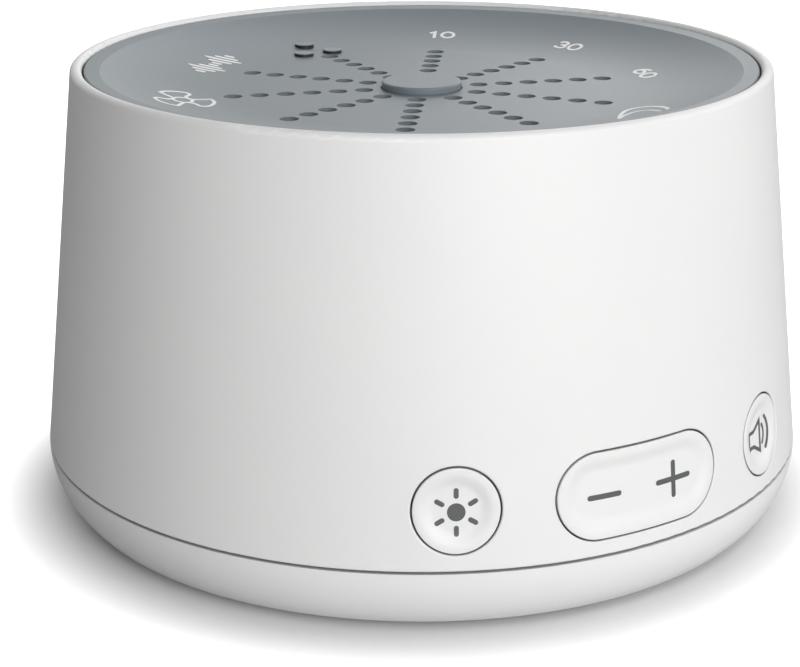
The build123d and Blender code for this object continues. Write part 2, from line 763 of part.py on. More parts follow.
def make_basket():
    sheet = basket_sheet
    shelf_outer = spider_outer + 2 * roll_gap
    drum = spider_outer - basket_shelf
    hole = plate_bore + 2 * roll_gap
    basket = lathe(
        (speaker_radius, speaker_top), (basket_inner, speaker_top), (basket_inner, speaker_top - sheet / 2),
        (shelf_outer, spider_z), (drum, spider_z), (drum, basket_floor + sheet),
        (hole, basket_floor + sheet), (hole, basket_floor), (drum + sheet, basket_floor),
        (drum + sheet, spider_z - sheet), (shelf_outer + sheet, spider_z - sheet),
        (basket_inner + sheet + roll_gap, flange_bottom), (speaker_radius, flange_bottom))
    window_low = spider_z + 2 * sheet
    window_high = flange_bottom - 2 * sheet
    window_reach = speaker_radius - spider_outer + 2
    window = block(window_width, window_reach, window_low, window_high,
                   spot(spider_outer + window_reach / 2, 0))
    return basket - around(window, spread(basket_windows, 180.0 / basket_windows))


def make_surround():
    base = speaker_top
    outer = roll_radius
    inner = roll_radius - roll_sheet
    roll = spun(
        arc((roll_middle - outer, base), (roll_middle, base + outer), (roll_middle + outer, base)),
        line((roll_middle + outer, base), (roll_middle + inner, base)),
        arc((roll_middle + inner, base), (roll_middle, base + inner), (roll_middle - inner, base)),
        line((roll_middle - inner, base), (roll_middle - outer, base)))
    glued_in = tube(cone_radius - surround_rim / 2, cone_radius + roll_gap / 2, base, base + roll_sheet)
    glued_out = tube(roll_outer - roll_gap / 2, roll_outer + surround_rim - free_fit,
                     base, base + roll_sheet)
    return roll + glued_in + glued_out


def make_spider():
    start = coil_outer + screw_fit
    steps = spider_waves * 4
    flat = spider_outer - spider_flat
    under = [(start + (flat - start) * i / steps, spider_z + spider_swing * sin(radians(90 * i)))
             for i in range(steps + 1)]
    under.append((spider_outer, spider_z))
    over = [(r, z + spider_sheet) for r, z in reversed(under)]
    return lathe(*(under + over))


def make_cone():
    rim = speaker_top
    neck = coil_outer + screw_fit
    return lathe(
        (neck, cone_low), (cone_radius - 0.9, rim - cone_sheet), (cone_radius, rim - cone_sheet),
        (cone_radius, rim), (cone_radius - 1.0, rim), (neck, cone_low + 1.4 * cone_sheet))


def make_dust_cap():
    rise = dust_cap_rise
    base = coil_top

    def dome(half, height):
        sphere = (half ** 2 + height ** 2) / (2 * height)
        return base + height - sphere + sqrt(sphere ** 2 - (half / 2) ** 2)

    outer = coil_outer - screw_fit
    inner = outer - cone_sheet
    low = rise - cone_sheet
    return spun(
        arc((outer, base), (outer / 2, dome(outer, rise)), (0, base + rise)),
        line((0, base + rise), (0, base + low)),
        arc((0, base + low), (inner / 2, dome(inner, low)), (inner, base)),
        line((inner, base), (outer, base)))


def make_gasket():
    ring = tube(speaker_radius - gasket_width, speaker_radius, speaker_top, dish_under)
    notch = block(ribbon_width + 2 * touch_gap, 3 * gasket_width, speaker_top - 1, dish_under + 1,
                  spot(speaker_radius, 0))
    return ring - turned(notch, power_board_azimuth)


def make_speaker_terminal():
    return block(terminal_size[0], terminal_size[1], terminal_z, flange_bottom, (0, terminal_y))


# Foot, boards and battery


def make_bottom_cover():
    cover = tube(0.0, cover_step_radius, cover_z, cover_inner_z)
    cover += tube(cover_step_radius - 1, cover_radius, cover_z, cover_lip_z)
    cover += around(rod(cup_radius, cover_z, cup_top, spot(boss_circle, 0)), boss_azimuths)
    cover += around(rod(board_post_radius, cover_z + 1, main_board_z, spot(board_post_circle, 0)),
                    board_post_azimuths)
    for rib in (light_board_inner + rib_inset, light_board_outer - rib_inset - rib_width):
        cover += tube(rib, rib + rib_width, cover_z + 1, light_board_z)
    cover -= around(rod(foot_radius + touch_gap, cover_z - 1, foot_thickness, spot(boss_circle, 0)),
                    boss_azimuths)
    cover -= around(rod(well_radius, cover_z - 1, seat_z, spot(boss_circle, 0)), boss_azimuths)
    cover -= around(rod(long_screw[0] + free_fit, cover_z, cup_top + 1, spot(boss_circle, 0)),
                    boss_azimuths)
    cover -= around(rod(board_screw[0] + screw_fit, cover_inner_z + hole_floor, main_board_z + 1,
                        spot(board_post_circle, 0)), board_post_azimuths)
    return cover


def make_long_screws():
    shank, head, head_height = long_screw
    screw = rod(head, seat_z - head_height, seat_z, spot(boss_circle, 0))
    screw += rod(shank, seat_z, cup_top + long_reach, spot(boss_circle, 0))
    slot_depth = head_height / 2
    for width, length in ((head, head / 4), (head / 4, head)):
        screw -= block(width, length, seat_z - head_height - 1, seat_z - slot_depth, spot(boss_circle, 0))
    return around(screw, boss_azimuths)


def make_light_board():
    board = tube(light_board_inner, light_board_outer, light_board_z,
                 light_board_z + light_board_thickness)
    notch = rod(cup_radius + 2 * part_gap, light_board_z - 1, light_board_z + 3, spot(boss_circle, 0))
    return board - around(notch, boss_azimuths)


def make_ring_lamps():
    low = light_board_z + light_board_thickness
    lamp = block(lamp_width, lamp_depth, low, low + lamp_height,
                 spot(light_board_outer - lamp_depth / 2 - free_fit, 0))
    return around(lamp, spread(ring_lamps))


def make_main_board():
    low = main_board_z
    board = rod(main_board_radius, low, main_board_top)
    tab_end = tongue_inner - 2 * part_gap
    tab_start = main_board_radius - board_tab_root
    board += block(board_tab_width, tab_end - tab_start, low, main_board_top,
                   (0, (tab_end + tab_start) / 2))
    board -= around(rod(boss_radius + boss_clearance, low - 1, main_board_top + 1, spot(boss_circle, 0)),
                    boss_azimuths)
    board -= around(rod(board_screw[0] + free_fit, low - 1, main_board_top + 1,
                        spot(board_post_circle, 0)), board_post_azimuths)
    return board


def make_board_screws():
    shank, head, head_height = board_screw
    screw = rod(head, main_board_top, main_board_top + head_height, spot(board_post_circle, 0))
    screw += rod(shank, cover_inner_z + hole_floor + tip_gap, main_board_top, spot(board_post_circle, 0))
    return around(screw, board_post_azimuths)


def make_battery():
    outline = RectangleRounded(battery_length, battery_width, battery_corner)
    return extrude(Pos(0, 0, battery_z) * outline, amount=battery_thickness)


def make_inlet():
    height = inlet_height
    outline = RectangleRounded(inlet_width, height, height / 2 - 0.05)
    bore = RectangleRounded(inlet_width - 2 * inlet_wall, height - 2 * inlet_wall,
                            height / 2 - inlet_wall - 0.05)
    start = inlet_mouth - inlet_depth
    shell = prism(outline, start, inlet_mouth, inlet_z)
    back = start + inlet_back_wall
    shell -= prism(bore, back, inlet_mouth + 1, inlet_z)
    tongue_outline = Rectangle(inlet_tongue_width, inlet_tongue_thickness)
    tongue = prism(tongue_outline, back, inlet_mouth - inlet_tongue_thickness, inlet_z)
    return turned(shell, 180), turned(tongue, 180)


def chip(name):
    width, depth, height = chip_sizes[name]
    return block(width, depth, main_board_top, main_board_top + height, chip_places[name])


def make_sockets():
    places = [spot(socket_circle, 180.0), spot(socket_circle, indicator_lead_azimuth)]
    sockets = [block(*socket_size[:2], main_board_top, socket_top, place) for place in places]
    plugs = [block(*plug_size[:2], socket_top, plug_top, place) for place in places]
    return sockets, plugs


def make_speaker_lead():
    fall = terminal_z - plug_top
    return [lead([(x, terminal_y, terminal_z), (x, terminal_y, terminal_z - 0.3 * fall),
                  (x, socket_circle, terminal_z - 0.65 * fall), (x, socket_circle, plug_top)],
                 wire_radius, 4.0) for x in (-wire_spacing / 2, wire_spacing / 2)]


def make_indicator_lead():
    board_radius = (indicator_inner + indicator_outer) / 2
    fall = indicator_bottom - plug_top
    points = [spot(board_radius, indicator_lead_azimuth, indicator_bottom),
              spot(board_radius, indicator_lead_azimuth, indicator_bottom - 0.45 * fall),
              spot(socket_circle, indicator_lead_azimuth, plug_top + 0.3 * fall),
              spot(socket_circle, indicator_lead_azimuth, plug_top)]
    return lead(points, board_lead_radius, 5.0)


def make_battery_lead():
    end = battery_length / 2
    low = battery_z + battery_thickness / 2
    return [lead([(end, side, low), (end + 5, side, low), (end + 5, side, main_board_z)],
                 wire_radius, 2.0) for side in (-wire_spacing / 2, wire_spacing / 2)]


def make_light_lead():
    low = light_board_z + light_board_thickness
    inside = light_board_inner + 1.5
    return [rod(wire_radius, low, main_board_z, (-inside, side))
            for side in (-wire_spacing / 2, wire_spacing / 2)]


def make_ribbon():
    """The flat lead of the power key board: up to the dish, along it and down to the indicator board."""
    width = ribbon_width
    sheet = ribbon_sheet
    high = dish_under - touch_gap
    start = power_board_length / 2 - sheet
    end = indicator_inner + 2 * sheet
    up = block(width, sheet, power_board_top, high, spot(start, 0))
    along = block(width, end - start + sheet, high - sheet, high, spot((start + end) / 2, 0))
    down = block(width, sheet, indicator_top, high, spot(end, 0))
    return turned(up + along + down, power_board_azimuth)


def make_power_board():
    outline = SlotOverall(power_board_length, power_board_width, rotation=90)
    board = extrude(Pos(0, 0, power_board_bottom) * outline, amount=power_board_thickness)
    hole = rod(power_screw[0] + free_fit, power_board_bottom - 1, power_board_top + 1,
               spot(power_post_circle, 0))
    return turned(board - around(hole, [0, 180]), power_board_azimuth)


def make_power_switch():
    top = power_board_top + power_switch_height
    body = block(switch_size, switch_size, power_board_top, top)
    body -= rod(plunger_radius + slide_fit, top - plunger_tail - plunger_room, top + 1)
    plunger = rod(plunger_radius, top - plunger_tail, power_flange_bottom)
    return turned(body, power_board_azimuth), plunger


def make_indicator_board():
    board = tube(indicator_inner, indicator_outer, indicator_bottom, indicator_top)
    tab_in = speaker_radius + 0.5
    tab_out = indicator_inner + 1
    tab = block(pip_spacing + 2 * tab_margin, tab_out - tab_in, indicator_bottom, indicator_top,
                spot((tab_in + tab_out) / 2, 0))
    board += turned(tab, pip_azimuth)
    board -= around(rod(indicator_screw[0] + free_fit, indicator_bottom - 1, indicator_top + 1,
                        spot(indicator_post_circle, 0)), indicator_screw_azimuths)
    return board


def make_indicator_lamps():
    width, depth, height = indicator_lamp
    top = indicator_top + height
    lamp = block(width, depth, indicator_top, top, spot(label_lamp_radius, 0))
    under_pipes = [block(width, depth, indicator_top, top, place) for place in pip_spots()]
    return around(lamp, label_azimuths) + under_pipes


def hanging_screws(size, seat, circle, azimuths):
    shank, head, head_height = size
    screw = rod(head, seat - head_height, seat, spot(circle, 0))
    screw += rod(shank, seat, hole_top(circle) - tip_gap, spot(circle, 0))
    return around(screw, azimuths)


pip_collars, pip_pipes = make_pips()
inlet_shell, inlet_tongue = make_inlet()
board_sockets, lead_plugs = make_sockets()
power_switch, power_plunger = make_power_switch()
round_key = make_round_key()
yoke = tube(0.0, top_plate_radius + 1, yoke_bottom, yoke_top) + rod(pole_radius, yoke_bottom, plate_top)
side_switches = around(switch_at_front(), [-key_angle, key_angle])
middle_switches = [switch_at_front(-sign_offset), switch_at_front(sign_offset)]

pieces = {
    "upper_housing": make_shell(),
    "top_dish": make_dish(),
    "light_pipe_collars": pip_collars,
    "light_pipes": pip_pipes,
    "dish_screws": hanging_screws(dish_screw, ledge_bottom, dish_screw_circle, dish_screw_azimuths),
    "speaker_gasket": make_gasket(),
    "speaker_basket": make_basket(),
    "speaker_top_plate": tube(plate_bore, top_plate_radius, magnet_top, plate_top),
    "speaker_magnet": tube(magnet_bore, magnet_radius, yoke_top, magnet_top),
    "speaker_yoke": yoke,
    "speaker_surround": make_surround(),
    "speaker_spider": make_spider(),
    "speaker_terminal": make_speaker_terminal(),
    "speaker_screws": hanging_screws(speaker_screw, flange_bottom, speaker_screw_circle,
                                     speaker_screw_azimuths),
    "speaker_cone": make_cone(),
    "speaker_voice_coil": tube(coil_inner, coil_outer, coil_top - coil_length, coil_top),
    "speaker_dust_cap": make_dust_cap(),
    "indicator_board": make_indicator_board(),
    "indicator_lamps": make_indicator_lamps(),
    "indicator_board_screws": hanging_screws(indicator_screw, indicator_bottom, indicator_post_circle,
                                             indicator_screw_azimuths),
    "power_board": make_power_board(),
    "power_board_screws": hanging_screws(power_screw, power_board_bottom, power_post_circle,
                                         power_board_azimuths),
    "power_switch": power_switch,
    "power_board_ribbon": make_ribbon(),
    "power_key": make_power_key(),
    "power_switch_plunger": power_plunger,
    "light_key": turned(round_key, -key_angle),
    "light_switch_plunger": turned(plunger_at_front(), -key_angle),
    "sound_key": turned(round_key, key_angle),
    "sound_switch_plunger": turned(plunger_at_front(), key_angle),
    "volume_rocker": make_rocker(),
    "minus_switch_plunger": plunger_at_front(-sign_offset),
    "plus_switch_plunger": plunger_at_front(sign_offset),
    "key_carrier": make_carrier(),
    "key_carrier_screws": make_carrier_screws(),
    "key_switches": side_switches + middle_switches,
    "main_board": make_main_board(),
    "main_board_screws": make_board_screws(),
    "board_capacitors": [rod(capacitor_radius, main_board_top, main_board_top + capacitor_height, place)
                         for place in capacitor_places],
    "inlet_shell": inlet_shell,
    "inlet_tongue": inlet_tongue,
    "board_sockets": board_sockets,
    "lead_plugs": lead_plugs,
    "speaker_lead": make_speaker_lead(),
    "indicator_lead": make_indicator_lead(),
    "battery_cell": make_battery(),
    "battery_tape": block(battery_length - 4, battery_width - 4, cover_inner_z, battery_z),
    "battery_lead": make_battery_lead(),
    "light_board": make_light_board(),
    "ring_lamps": make_ring_lamps(),
    "light_board_lead": make_light_lead(),
    "light_ring": make_light_ring(),
    "bottom_cover": make_bottom_cover(),
    "long_screws": make_long_screws(),
    "rubber_feet": around(rod(foot_radius, 0.0, foot_thickness, spot(boss_circle, 0)), boss_azimuths),
}
pieces.update({name: chip(name) for name in chip_sizes})


def solids_of(shape):
    if isinstance(shape, list):
        return [solid for item in shape for solid in item.solids()]
    return list(shape.solids())


os.makedirs("parts", exist_ok=True)
for name, shape in pieces.items():
    solids = solids_of(shape)
    node = solids[0] if len(solids) == 1 else Compound(children=solids)
    export_step(node, os.path.join("parts", name + ".step"))
print(len(pieces), "nodes, overall height", rim_top, "widest radius", seam_radius)
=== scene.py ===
# %% [markdown]
# # A sleep aid light, seen the way the photo shows it
# The object is a small drum for a child's bedside table. It plays sounds and glows from a ring
# round its foot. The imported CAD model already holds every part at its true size, so this lesson
# adds what CAD leaves out: the finish of each material, the soft hollows of the keys, the printed
# signs, the wound coil, and a studio with a camera that stands where the photo was taken.

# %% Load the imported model
import math

import bmesh
import bpy
from mathutils import Matrix, Vector


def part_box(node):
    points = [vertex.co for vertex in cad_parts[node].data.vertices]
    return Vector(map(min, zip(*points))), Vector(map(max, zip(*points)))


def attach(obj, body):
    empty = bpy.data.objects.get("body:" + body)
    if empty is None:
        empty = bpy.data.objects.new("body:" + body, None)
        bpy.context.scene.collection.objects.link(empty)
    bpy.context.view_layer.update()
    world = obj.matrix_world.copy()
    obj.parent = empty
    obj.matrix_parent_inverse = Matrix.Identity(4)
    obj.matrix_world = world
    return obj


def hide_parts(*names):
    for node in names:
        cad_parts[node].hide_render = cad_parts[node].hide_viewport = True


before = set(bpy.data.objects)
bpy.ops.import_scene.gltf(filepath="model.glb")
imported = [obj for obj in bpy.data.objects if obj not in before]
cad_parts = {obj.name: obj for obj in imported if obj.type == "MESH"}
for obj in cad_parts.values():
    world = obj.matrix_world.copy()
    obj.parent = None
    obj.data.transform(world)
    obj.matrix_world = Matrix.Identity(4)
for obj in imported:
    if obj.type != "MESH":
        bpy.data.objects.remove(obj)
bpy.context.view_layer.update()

# %% [markdown]
# ## Real sizes
# All lengths below are the real ones in millimetres, and one factor turns them to Blender's
# metres. They are the driving sizes of the shell and the dish: the shell leans inwards by 6.4
# degrees, so its radius at any height follows from one line, and the dish is a flat floor with a
# round bowl about it.

# %% Sizes
mm = 0.001
side_lean = math.radians(6.4)
seam_radius = 55.0
seam_z = 9.45
shell_wall = 2.0 / math.cos(side_lean)
key_z = 17.4
key_angle = 26.9
floor_z = 59.0
floor_radius = 26.994
bowl_radius = 45.96


def side_radius(z):
    """Radius of the shell's outer face at a height."""
    return seam_radius - (z - seam_z) * math.tan(side_lean)


def bowl_z(r):
    """Height of the dish's upper face at a distance from the middle."""
    return floor_z + bowl_radius - math.sqrt(bowl_radius ** 2 - max(r - floor_radius, 0.0) ** 2)


key_face = side_radius(key_z)
print("face of the keys at", round(key_face, 3), "mm from the middle")

# %% [markdown]
# ## Helpers
# Colours are easiest to write as the hex codes of a screen, but Blender works in linear light,
# so one function translates them. The next one fills the sockets of a node, and the third adds a
# node, sets it up and fills it. Every material starts with the same few lines, which are a
# function as well.

# %% Helpers


def linear(code):
    """A screen colour such as #9CA3A6 as Blender's linear red, green, blue and alpha."""
    channels = [int(code[i:i + 2], 16) / 255 for i in (1, 3, 5)]
    return [c / 12.92 if c <= 0.04045 else ((c + 0.055) / 1.055) ** 2.4 for c in channels] + [1.0]


def fill(tree, node, sockets):
    """Gives each named socket of a node a plain value, or the output of another node."""
    for key, value in sockets.items():
        if isinstance(value, bpy.types.NodeSocket):
            tree.links.new(value, node.inputs[key])
        else:
            node.inputs[key].default_value = value


def add(tree, kind, sockets=None, **settings):
    """Adds a node with its settings, its values and its links."""
    node = tree.nodes.new(kind)
    for name, value in settings.items():
        setattr(node, name, value)
    fill(tree, node, sockets or {})
    return node


def start_material(name):
    """An empty material, its tree, its main shader and the object's own coordinates."""
    material = bpy.data.materials.new(name)
    material.use_nodes = True
    tree = material.node_tree
    shader = next(n for n in tree.nodes if n.type == "BSDF_PRINCIPLED")
    coordinates = add(tree, "ShaderNodeTexCoord").outputs["Object"]
    return material, tree, shader, coordinates


print("white is", linear("#FFFFFF")[:3])

# %% [markdown]
# ## Moulded plastics
# A moulded part copies the skin of its steel mould. The white shell comes from a mould that was
# spark eroded to a very fine satin: it has no visible grain, but its highlights are wide and
# soft. The same recipe with other numbers gives the grey dish, the black parts and the nylon.
# The colour drifts a little over centimetres, as it does where the melt cools unevenly, and the
# grain is drawn as a bump of a few micrometres.

# %% Painted shade in the joints
joint_reach = 0.45
# the dark colour that is painted into narrow joints and creases as shade
crease_shade_colour = "#3A3B3C"


def shaded_joints(tree, colour):
    """Paints shade into a colour inside narrow joints, where light hardly reaches."""
    open_air = add(tree, "ShaderNodeAmbientOcclusion", {"Distance": joint_reach * mm}, samples=8)
    unshaded_share = add(tree, "ShaderNodeMapRange", {0: open_air.outputs["AO"], 1: 0.25, 2: 0.85,
                                             3: 0.25, 4: 1.0})
    # the more closely the walls hem a spot in, the more painted shade it gets
    crease_shaded = add(tree, "ShaderNodeMix", {0: unshaded_share.outputs[0], 6: linear(crease_shade_colour), 7: colour},
                data_type="RGBA")
    return crease_shaded.outputs[2]


print("walls nearer than", joint_reach, "mm shade each other")

# %% Recipe for moulded plastic


def moulded(name, colour, shade, rough, grain_mm, relief_mm, ior, drift_mm=18.0):
    """Plastic with a slow drift of colour and the fine grain of its mould, sizes in mm."""
    material, tree, shader, coordinates = start_material(name)
    drift = add(tree, "ShaderNodeTexNoise", {"Vector": coordinates, "Scale": 1 / (drift_mm * mm),
                                             "Detail": 2.0, "Roughness": 0.5})
    tint = add(tree, "ShaderNodeMix", {0: drift.outputs[0], 6: linear(colour), 7: linear(shade)},
               data_type="RGBA")
    grain = add(tree, "ShaderNodeTexNoise", {"Vector": coordinates, "Scale": 1 / (grain_mm * mm),
                                             "Detail": 3.0, "Roughness": 0.55})
    sheen = add(tree, "ShaderNodeMapRange", {0: grain.outputs[0], 1: 0.3, 2: 0.7,
                                             3: rough - 0.03, 4: rough + 0.03})
    bump = add(tree, "ShaderNodeBump", {"Strength": 1.0, "Distance": relief_mm * mm,
                                        "Height": grain.outputs[0]})
    # the base colour carries painted shade in narrow joints and creases
    fill(tree, shader, {"Base Color": shaded_joints(tree, tint.outputs[2]),
                        "Roughness": sheen.outputs[0], "Normal": bump.outputs[0], "IOR": ior})
    return material


finishes = {
    # ABS for the shell and keys: typical IOR 1.54, satin from a spark-eroded mould
    "white_abs": moulded("white_abs_satin", "#F3F3F2", "#F0F0F0", 0.42, 0.25, 0.0006, 1.54),
    # the same plastic coloured a cool grey, for the dish and the power key
    "grey_abs": moulded("grey_abs_satin", "#818A90", "#7D878D", 0.46, 0.25, 0.0010, 1.54),
    # black ABS, for collars, carriers, frames and switch bodies
    "black_abs": moulded("black_abs_satin", "#1B1C1D", "#232425", 0.40, 0.25, 0.0015, 1.54),
    # nylon for the small connectors: milky, slightly waxy
    "nylon": moulded("white_nylon_waxy", "#E6E3D8", "#DDD9CC", 0.38, 0.20, 0.0015, 1.53, 4.0),
    # PVC on the leads: soft and shiny, as it comes out of the die
    "lead_pvc": moulded("black_pvc_extruded", "#202022", "#2A2A2C", 0.33, 0.40, 0.0020, 1.53, 3.0),
    # epoxy over the chips: matt black with a fine grain from its glass filler
    "chip_epoxy": moulded("black_epoxy_filled", "#26272A", "#1E1F21", 0.55, 0.08, 0.0030, 1.58,
                          2.0),
    # thermoplastic rubber for the feet: dull, with a slight mould grain
    "foot_rubber": moulded("grey_rubber_matt", "#4A4C4E", "#424446", 0.80, 0.15, 0.0060, 1.50,
                           3.0),
}
print("moulded finishes:", ", ".join(sorted(finishes)))

# %% [markdown]
# ## The clear and milky plastics
# The ring round the foot spreads the light of the lamps behind it. It is acrylic with a milky
# filler, so light enters it, scatters for about a millimetre and comes out again: subsurface
# scattering. The three light pipes at the back of the dish are acrylic too, tinted to the grey
# of the dish, so that an unlit one nearly disappears.

# %% Milky ring, tinted light pipes and lamp resin
acrylic_ior = 1.49
cloud_size = 12


def acrylic(name, colour, shade, rough, scatter, depth_mm):
    """Acrylic or resin in which a share of the light scatters, this deep in millimetres."""
    material, tree, shader, coordinates = start_material(name)
    cloud = add(tree, "ShaderNodeTexNoise", {"Vector": coordinates, "Scale": 1 / (cloud_size * mm),
                                             "Detail": 2.0})
    tint = add(tree, "ShaderNodeMix", {0: cloud.outputs[0], 6: linear(colour), 7: linear(shade)},
               data_type="RGBA")
    haze = add(tree, "ShaderNodeMapRange", {0: cloud.outputs[0], 3: rough - 0.04, 4: rough + 0.04})
    # the base colour carries painted shade in narrow joints and creases
    fill(tree, shader, {"Base Color": shaded_joints(tree, tint.outputs[2]),
                        "Roughness": haze.outputs[0], "IOR": acrylic_ior,
                        "Subsurface Weight": scatter, "Subsurface Scale": 1.0,
                        "Subsurface Radius": (depth_mm * mm,) * 3})
    return material


# milky acrylic for the ring: satin outside, and light glows a millimetre deep in it
finishes["opal_pmma"] = acrylic("opal_acrylic_satin", "#F7F7F7", "#F4F4F4", 0.40, 0.10, 1.0)
# tinted acrylic for the light pipes: polished, and a shade of the dish
finishes["smoke_pipe"] = acrylic("grey_acrylic_polished", "#818A90", "#7B848A", 0.32, 0.10, 0.4)
# the drop of resin on a lamp: glossy, and yellow from its phosphor
finishes["lamp_resin"] = acrylic("lamp_resin_phosphor", "#E9D36A", "#DDBF4E", 0.25, 0.30, 0.3)
print("clear finishes ready")

# %% [markdown]
# ## Metals
# A metal's colour is in its reflection, so each one is fully metallic and keeps the default IOR.
# Zinc plate is blotchy on the scale of a millimetre, pressed steel shows faint streaks from
# rolling, and enamelled copper wire shines under a clear coat.

# %% Recipe for metals


def metal(name, colour, shade, rough, spread, patch_mm, stretch=1.0, coat=0.0):
    """Metal with patches of this size in mm. A stretch draws them out to streaks."""
    material, tree, shader, coordinates = start_material(name)
    rolled = add(tree, "ShaderNodeMapping", {"Vector": coordinates, "Scale": (1.0, stretch, 1.0)})
    patches = add(tree, "ShaderNodeTexNoise", {"Vector": rolled.outputs[0],
                                               "Scale": 1 / (patch_mm * mm), "Detail": 4.0})
    tint = add(tree, "ShaderNodeMix", {0: patches.outputs[0], 6: linear(colour), 7: linear(shade)},
               data_type="RGBA")
    sheen = add(tree, "ShaderNodeMapRange", {0: patches.outputs[0], 1: 0.3, 2: 0.7,
                                             3: rough - spread, 4: rough + spread})
    fill(tree, shader, {"Base Color": tint.outputs[2], "Roughness": sheen.outputs[0],
                        "Metallic": 1.0, "Coat Weight": coat})
    return material


finishes.update({
    # zinc plate on steel: bluish white and blotchy
    "zinc_steel": metal("steel_zinc_plated", "#C9CDD2", "#AEB4BC", 0.32, 0.08, 1.2),
    # pressed sheet: darker, with faint streaks from rolling
    "pressed_steel": metal("steel_pressed_sheet", "#A9ABAD", "#8F9193", 0.36, 0.06, 2.5, 8.0),
    # a drawn aluminium can: bright and even
    "capacitor_can": metal("aluminium_drawn_can", "#DADCDE", "#D0D2D5", 0.28, 0.02, 6.0),
    # enamelled copper wire: reddish under a shiny clear coat
    "copper_coil": metal("copper_wire_enamelled", "#C9733E", "#B3602F", 0.28, 0.05, 0.6, coat=0.6),
})
print("metal finishes ready")

# %% [markdown]
# ## Foam, paper, cloth, ferrite and foil
# These hidden parts have a clear pattern of their own. Foam is cells of half a millimetre, a
# paper cone is a felt of fibres, the spider is woven cloth, and the battery cell sits in a
# crinkled foil pouch. Each pattern mixes two colours and lifts the surface a little.

# %% Recipe for patterned sheets and foams


def patterned(name, colour, shade, rough, kind, size_mm, relief_mm, metallic=0.0):
    """A sheet or foam with a pattern of cells, a weave or fibres, sizes in mm."""
    material, tree, shader, coordinates = start_material(name)
    sized = {"Vector": coordinates, "Scale": 1 / (size_mm * mm)}
    if kind == "cells":
        pattern = add(tree, "ShaderNodeTexVoronoi", sized).outputs["Distance"]
    elif kind == "weave":
        # a wave's period is 2 pi / 20 of its unit of scale
        sized["Scale"] *= 2 * math.pi / 20
        warp, weft = [add(tree, "ShaderNodeTexWave", sized, bands_direction=axis).outputs["Fac"]
                      for axis in "XY"]
        pattern = add(tree, "ShaderNodeMath", {0: warp, 1: weft}, operation="MAXIMUM").outputs[0]
    else:
        sized.update({"Detail": 6.0, "Distortion": 1.5})
        pattern = add(tree, "ShaderNodeTexNoise", sized).outputs[0]
    tint = add(tree, "ShaderNodeMix", {0: pattern, 6: linear(colour), 7: linear(shade)},
               data_type="RGBA")
    bump = add(tree, "ShaderNodeBump", {"Strength": 1.0, "Distance": relief_mm * mm,
                                        "Height": pattern})
    fill(tree, shader, {"Base Color": tint.outputs[2], "Normal": bump.outputs[0],
                        "Roughness": rough, "Metallic": metallic})
    return material


finishes.update({
    # foam for a gasket: black cells and no shine
    "speaker_foam": patterned("black_foam_gasket", "#1C1C1E", "#303033", 0.95, "cells", 0.5, 0.08),
    # the denser foam of the roll round the cone: finer cells
    "speaker_surround_foam": patterned("black_foam_roll", "#232326", "#333337", 0.9, "cells", 0.3,
                                       0.03),
    # pressed paper: matt, with fibres that cross
    "paper_cone": patterned("black_paper_felted", "#2A2B2C", "#3A3B3C", 0.85, "fibres", 0.6, 0.02),
    # varnished cotton: amber, with threads over and under each other
    "spider_cloth": patterned("cotton_cloth_varnished", "#C7A25B", "#A98443", 0.7, "weave", 0.6,
                              0.05),
    # sintered ferrite, ground flat: dark grey and dull
    "ferrite": patterned("ferrite_ground", "#3A3B3D", "#2F3032", 0.6, "fibres", 0.3, 0.005),
    # laminated foil: silvery, with wide soft crinkles
    "cell_pouch": patterned("foil_pouch_laminated", "#B9BCC0", "#A8ABAF", 0.35, "fibres", 4.0,
                            0.05, 0.8),
})
print(len(finishes), "finishes so far")

# %% [markdown]
# ## Circuit boards
# A board is woven glass under a thin coat of solder mask, green on the main board and white under
# the lamps. Copper tracks run below the mask and show as lighter lanes, and each via is a dot of
# tin. The tracks are a brick texture: the joints between long bricks are straight lanes that step
# aside now and then, as real ones do. They and the vias are drawn, as they are too thin to model.

# %% Recipe for a circuit board
weave_size, weave_relief = 0.8, 0.004
track_pitch, track_length, track_width = 1.1, 9.0, 0.12
field_size = 16
via_pitch, via_radius = 4.2, 0.07
via_tin = "#B9BCB8"


def board(name, colour, shade, track, rough):
    """Woven glass, with tracks and vias under and through its solder mask."""
    material = patterned(name, colour, shade, rough, "weave", weave_size, weave_relief)
    tree = material.node_tree
    shader = next(n for n in tree.nodes if n.type == "BSDF_PRINCIPLED")
    coordinates = add(tree, "ShaderNodeTexCoord").outputs["Object"]
    mask = shader.inputs["Base Color"].links[0].from_socket
    lanes = add(tree, "ShaderNodeTexBrick", {
        "Vector": coordinates, "Scale": 1 / mm, "Mortar Size": track_width, "Mortar Smooth": 0.2,
        "Brick Width": track_length, "Row Height": track_pitch}, offset=0.37)
    # the lanes lie only in some fields of the board, which a coarse noise sets out
    fields = add(tree, "ShaderNodeTexNoise", {"Vector": coordinates, "Detail": 0.0,
                                              "Scale": 1 / (field_size * mm)})
    there = add(tree, "ShaderNodeMath", {0: fields.outputs[0], 1: 0.5}, operation="GREATER_THAN")
    tracks = add(tree, "ShaderNodeMath", {0: lanes.outputs["Fac"], 1: there.outputs[0]},
                 operation="MULTIPLY")
    over = add(tree, "ShaderNodeMix", {0: tracks.outputs[0], 6: mask, 7: linear(track)},
               data_type="RGBA")
    # the radius of a via is a share of the vias' pitch
    dots = add(tree, "ShaderNodeTexVoronoi", {"Vector": coordinates, "Randomness": 0.7,
                                              "Scale": 1 / (via_pitch * mm)})
    via = add(tree, "ShaderNodeMath", {0: dots.outputs["Distance"], 1: via_radius},
              operation="LESS_THAN").outputs[0]
    tinned = add(tree, "ShaderNodeMix", {0: via, 6: over.outputs[2], 7: linear(via_tin)},
                 data_type="RGBA")
    fill(tree, shader, {"Base Color": tinned.outputs[2], "Metallic": via})
    return material


# solder mask over woven glass: slightly glossy, green or white as its pigment
finishes["green_board"] = board("board_green_mask", "#1F6B3E", "#1A5C36", "#3F9460", 0.35)
finishes["white_board"] = board("board_white_mask", "#ECEDEB", "#E2E4E1", "#DCDEDA", 0.40)
print(len(finishes), "finishes")

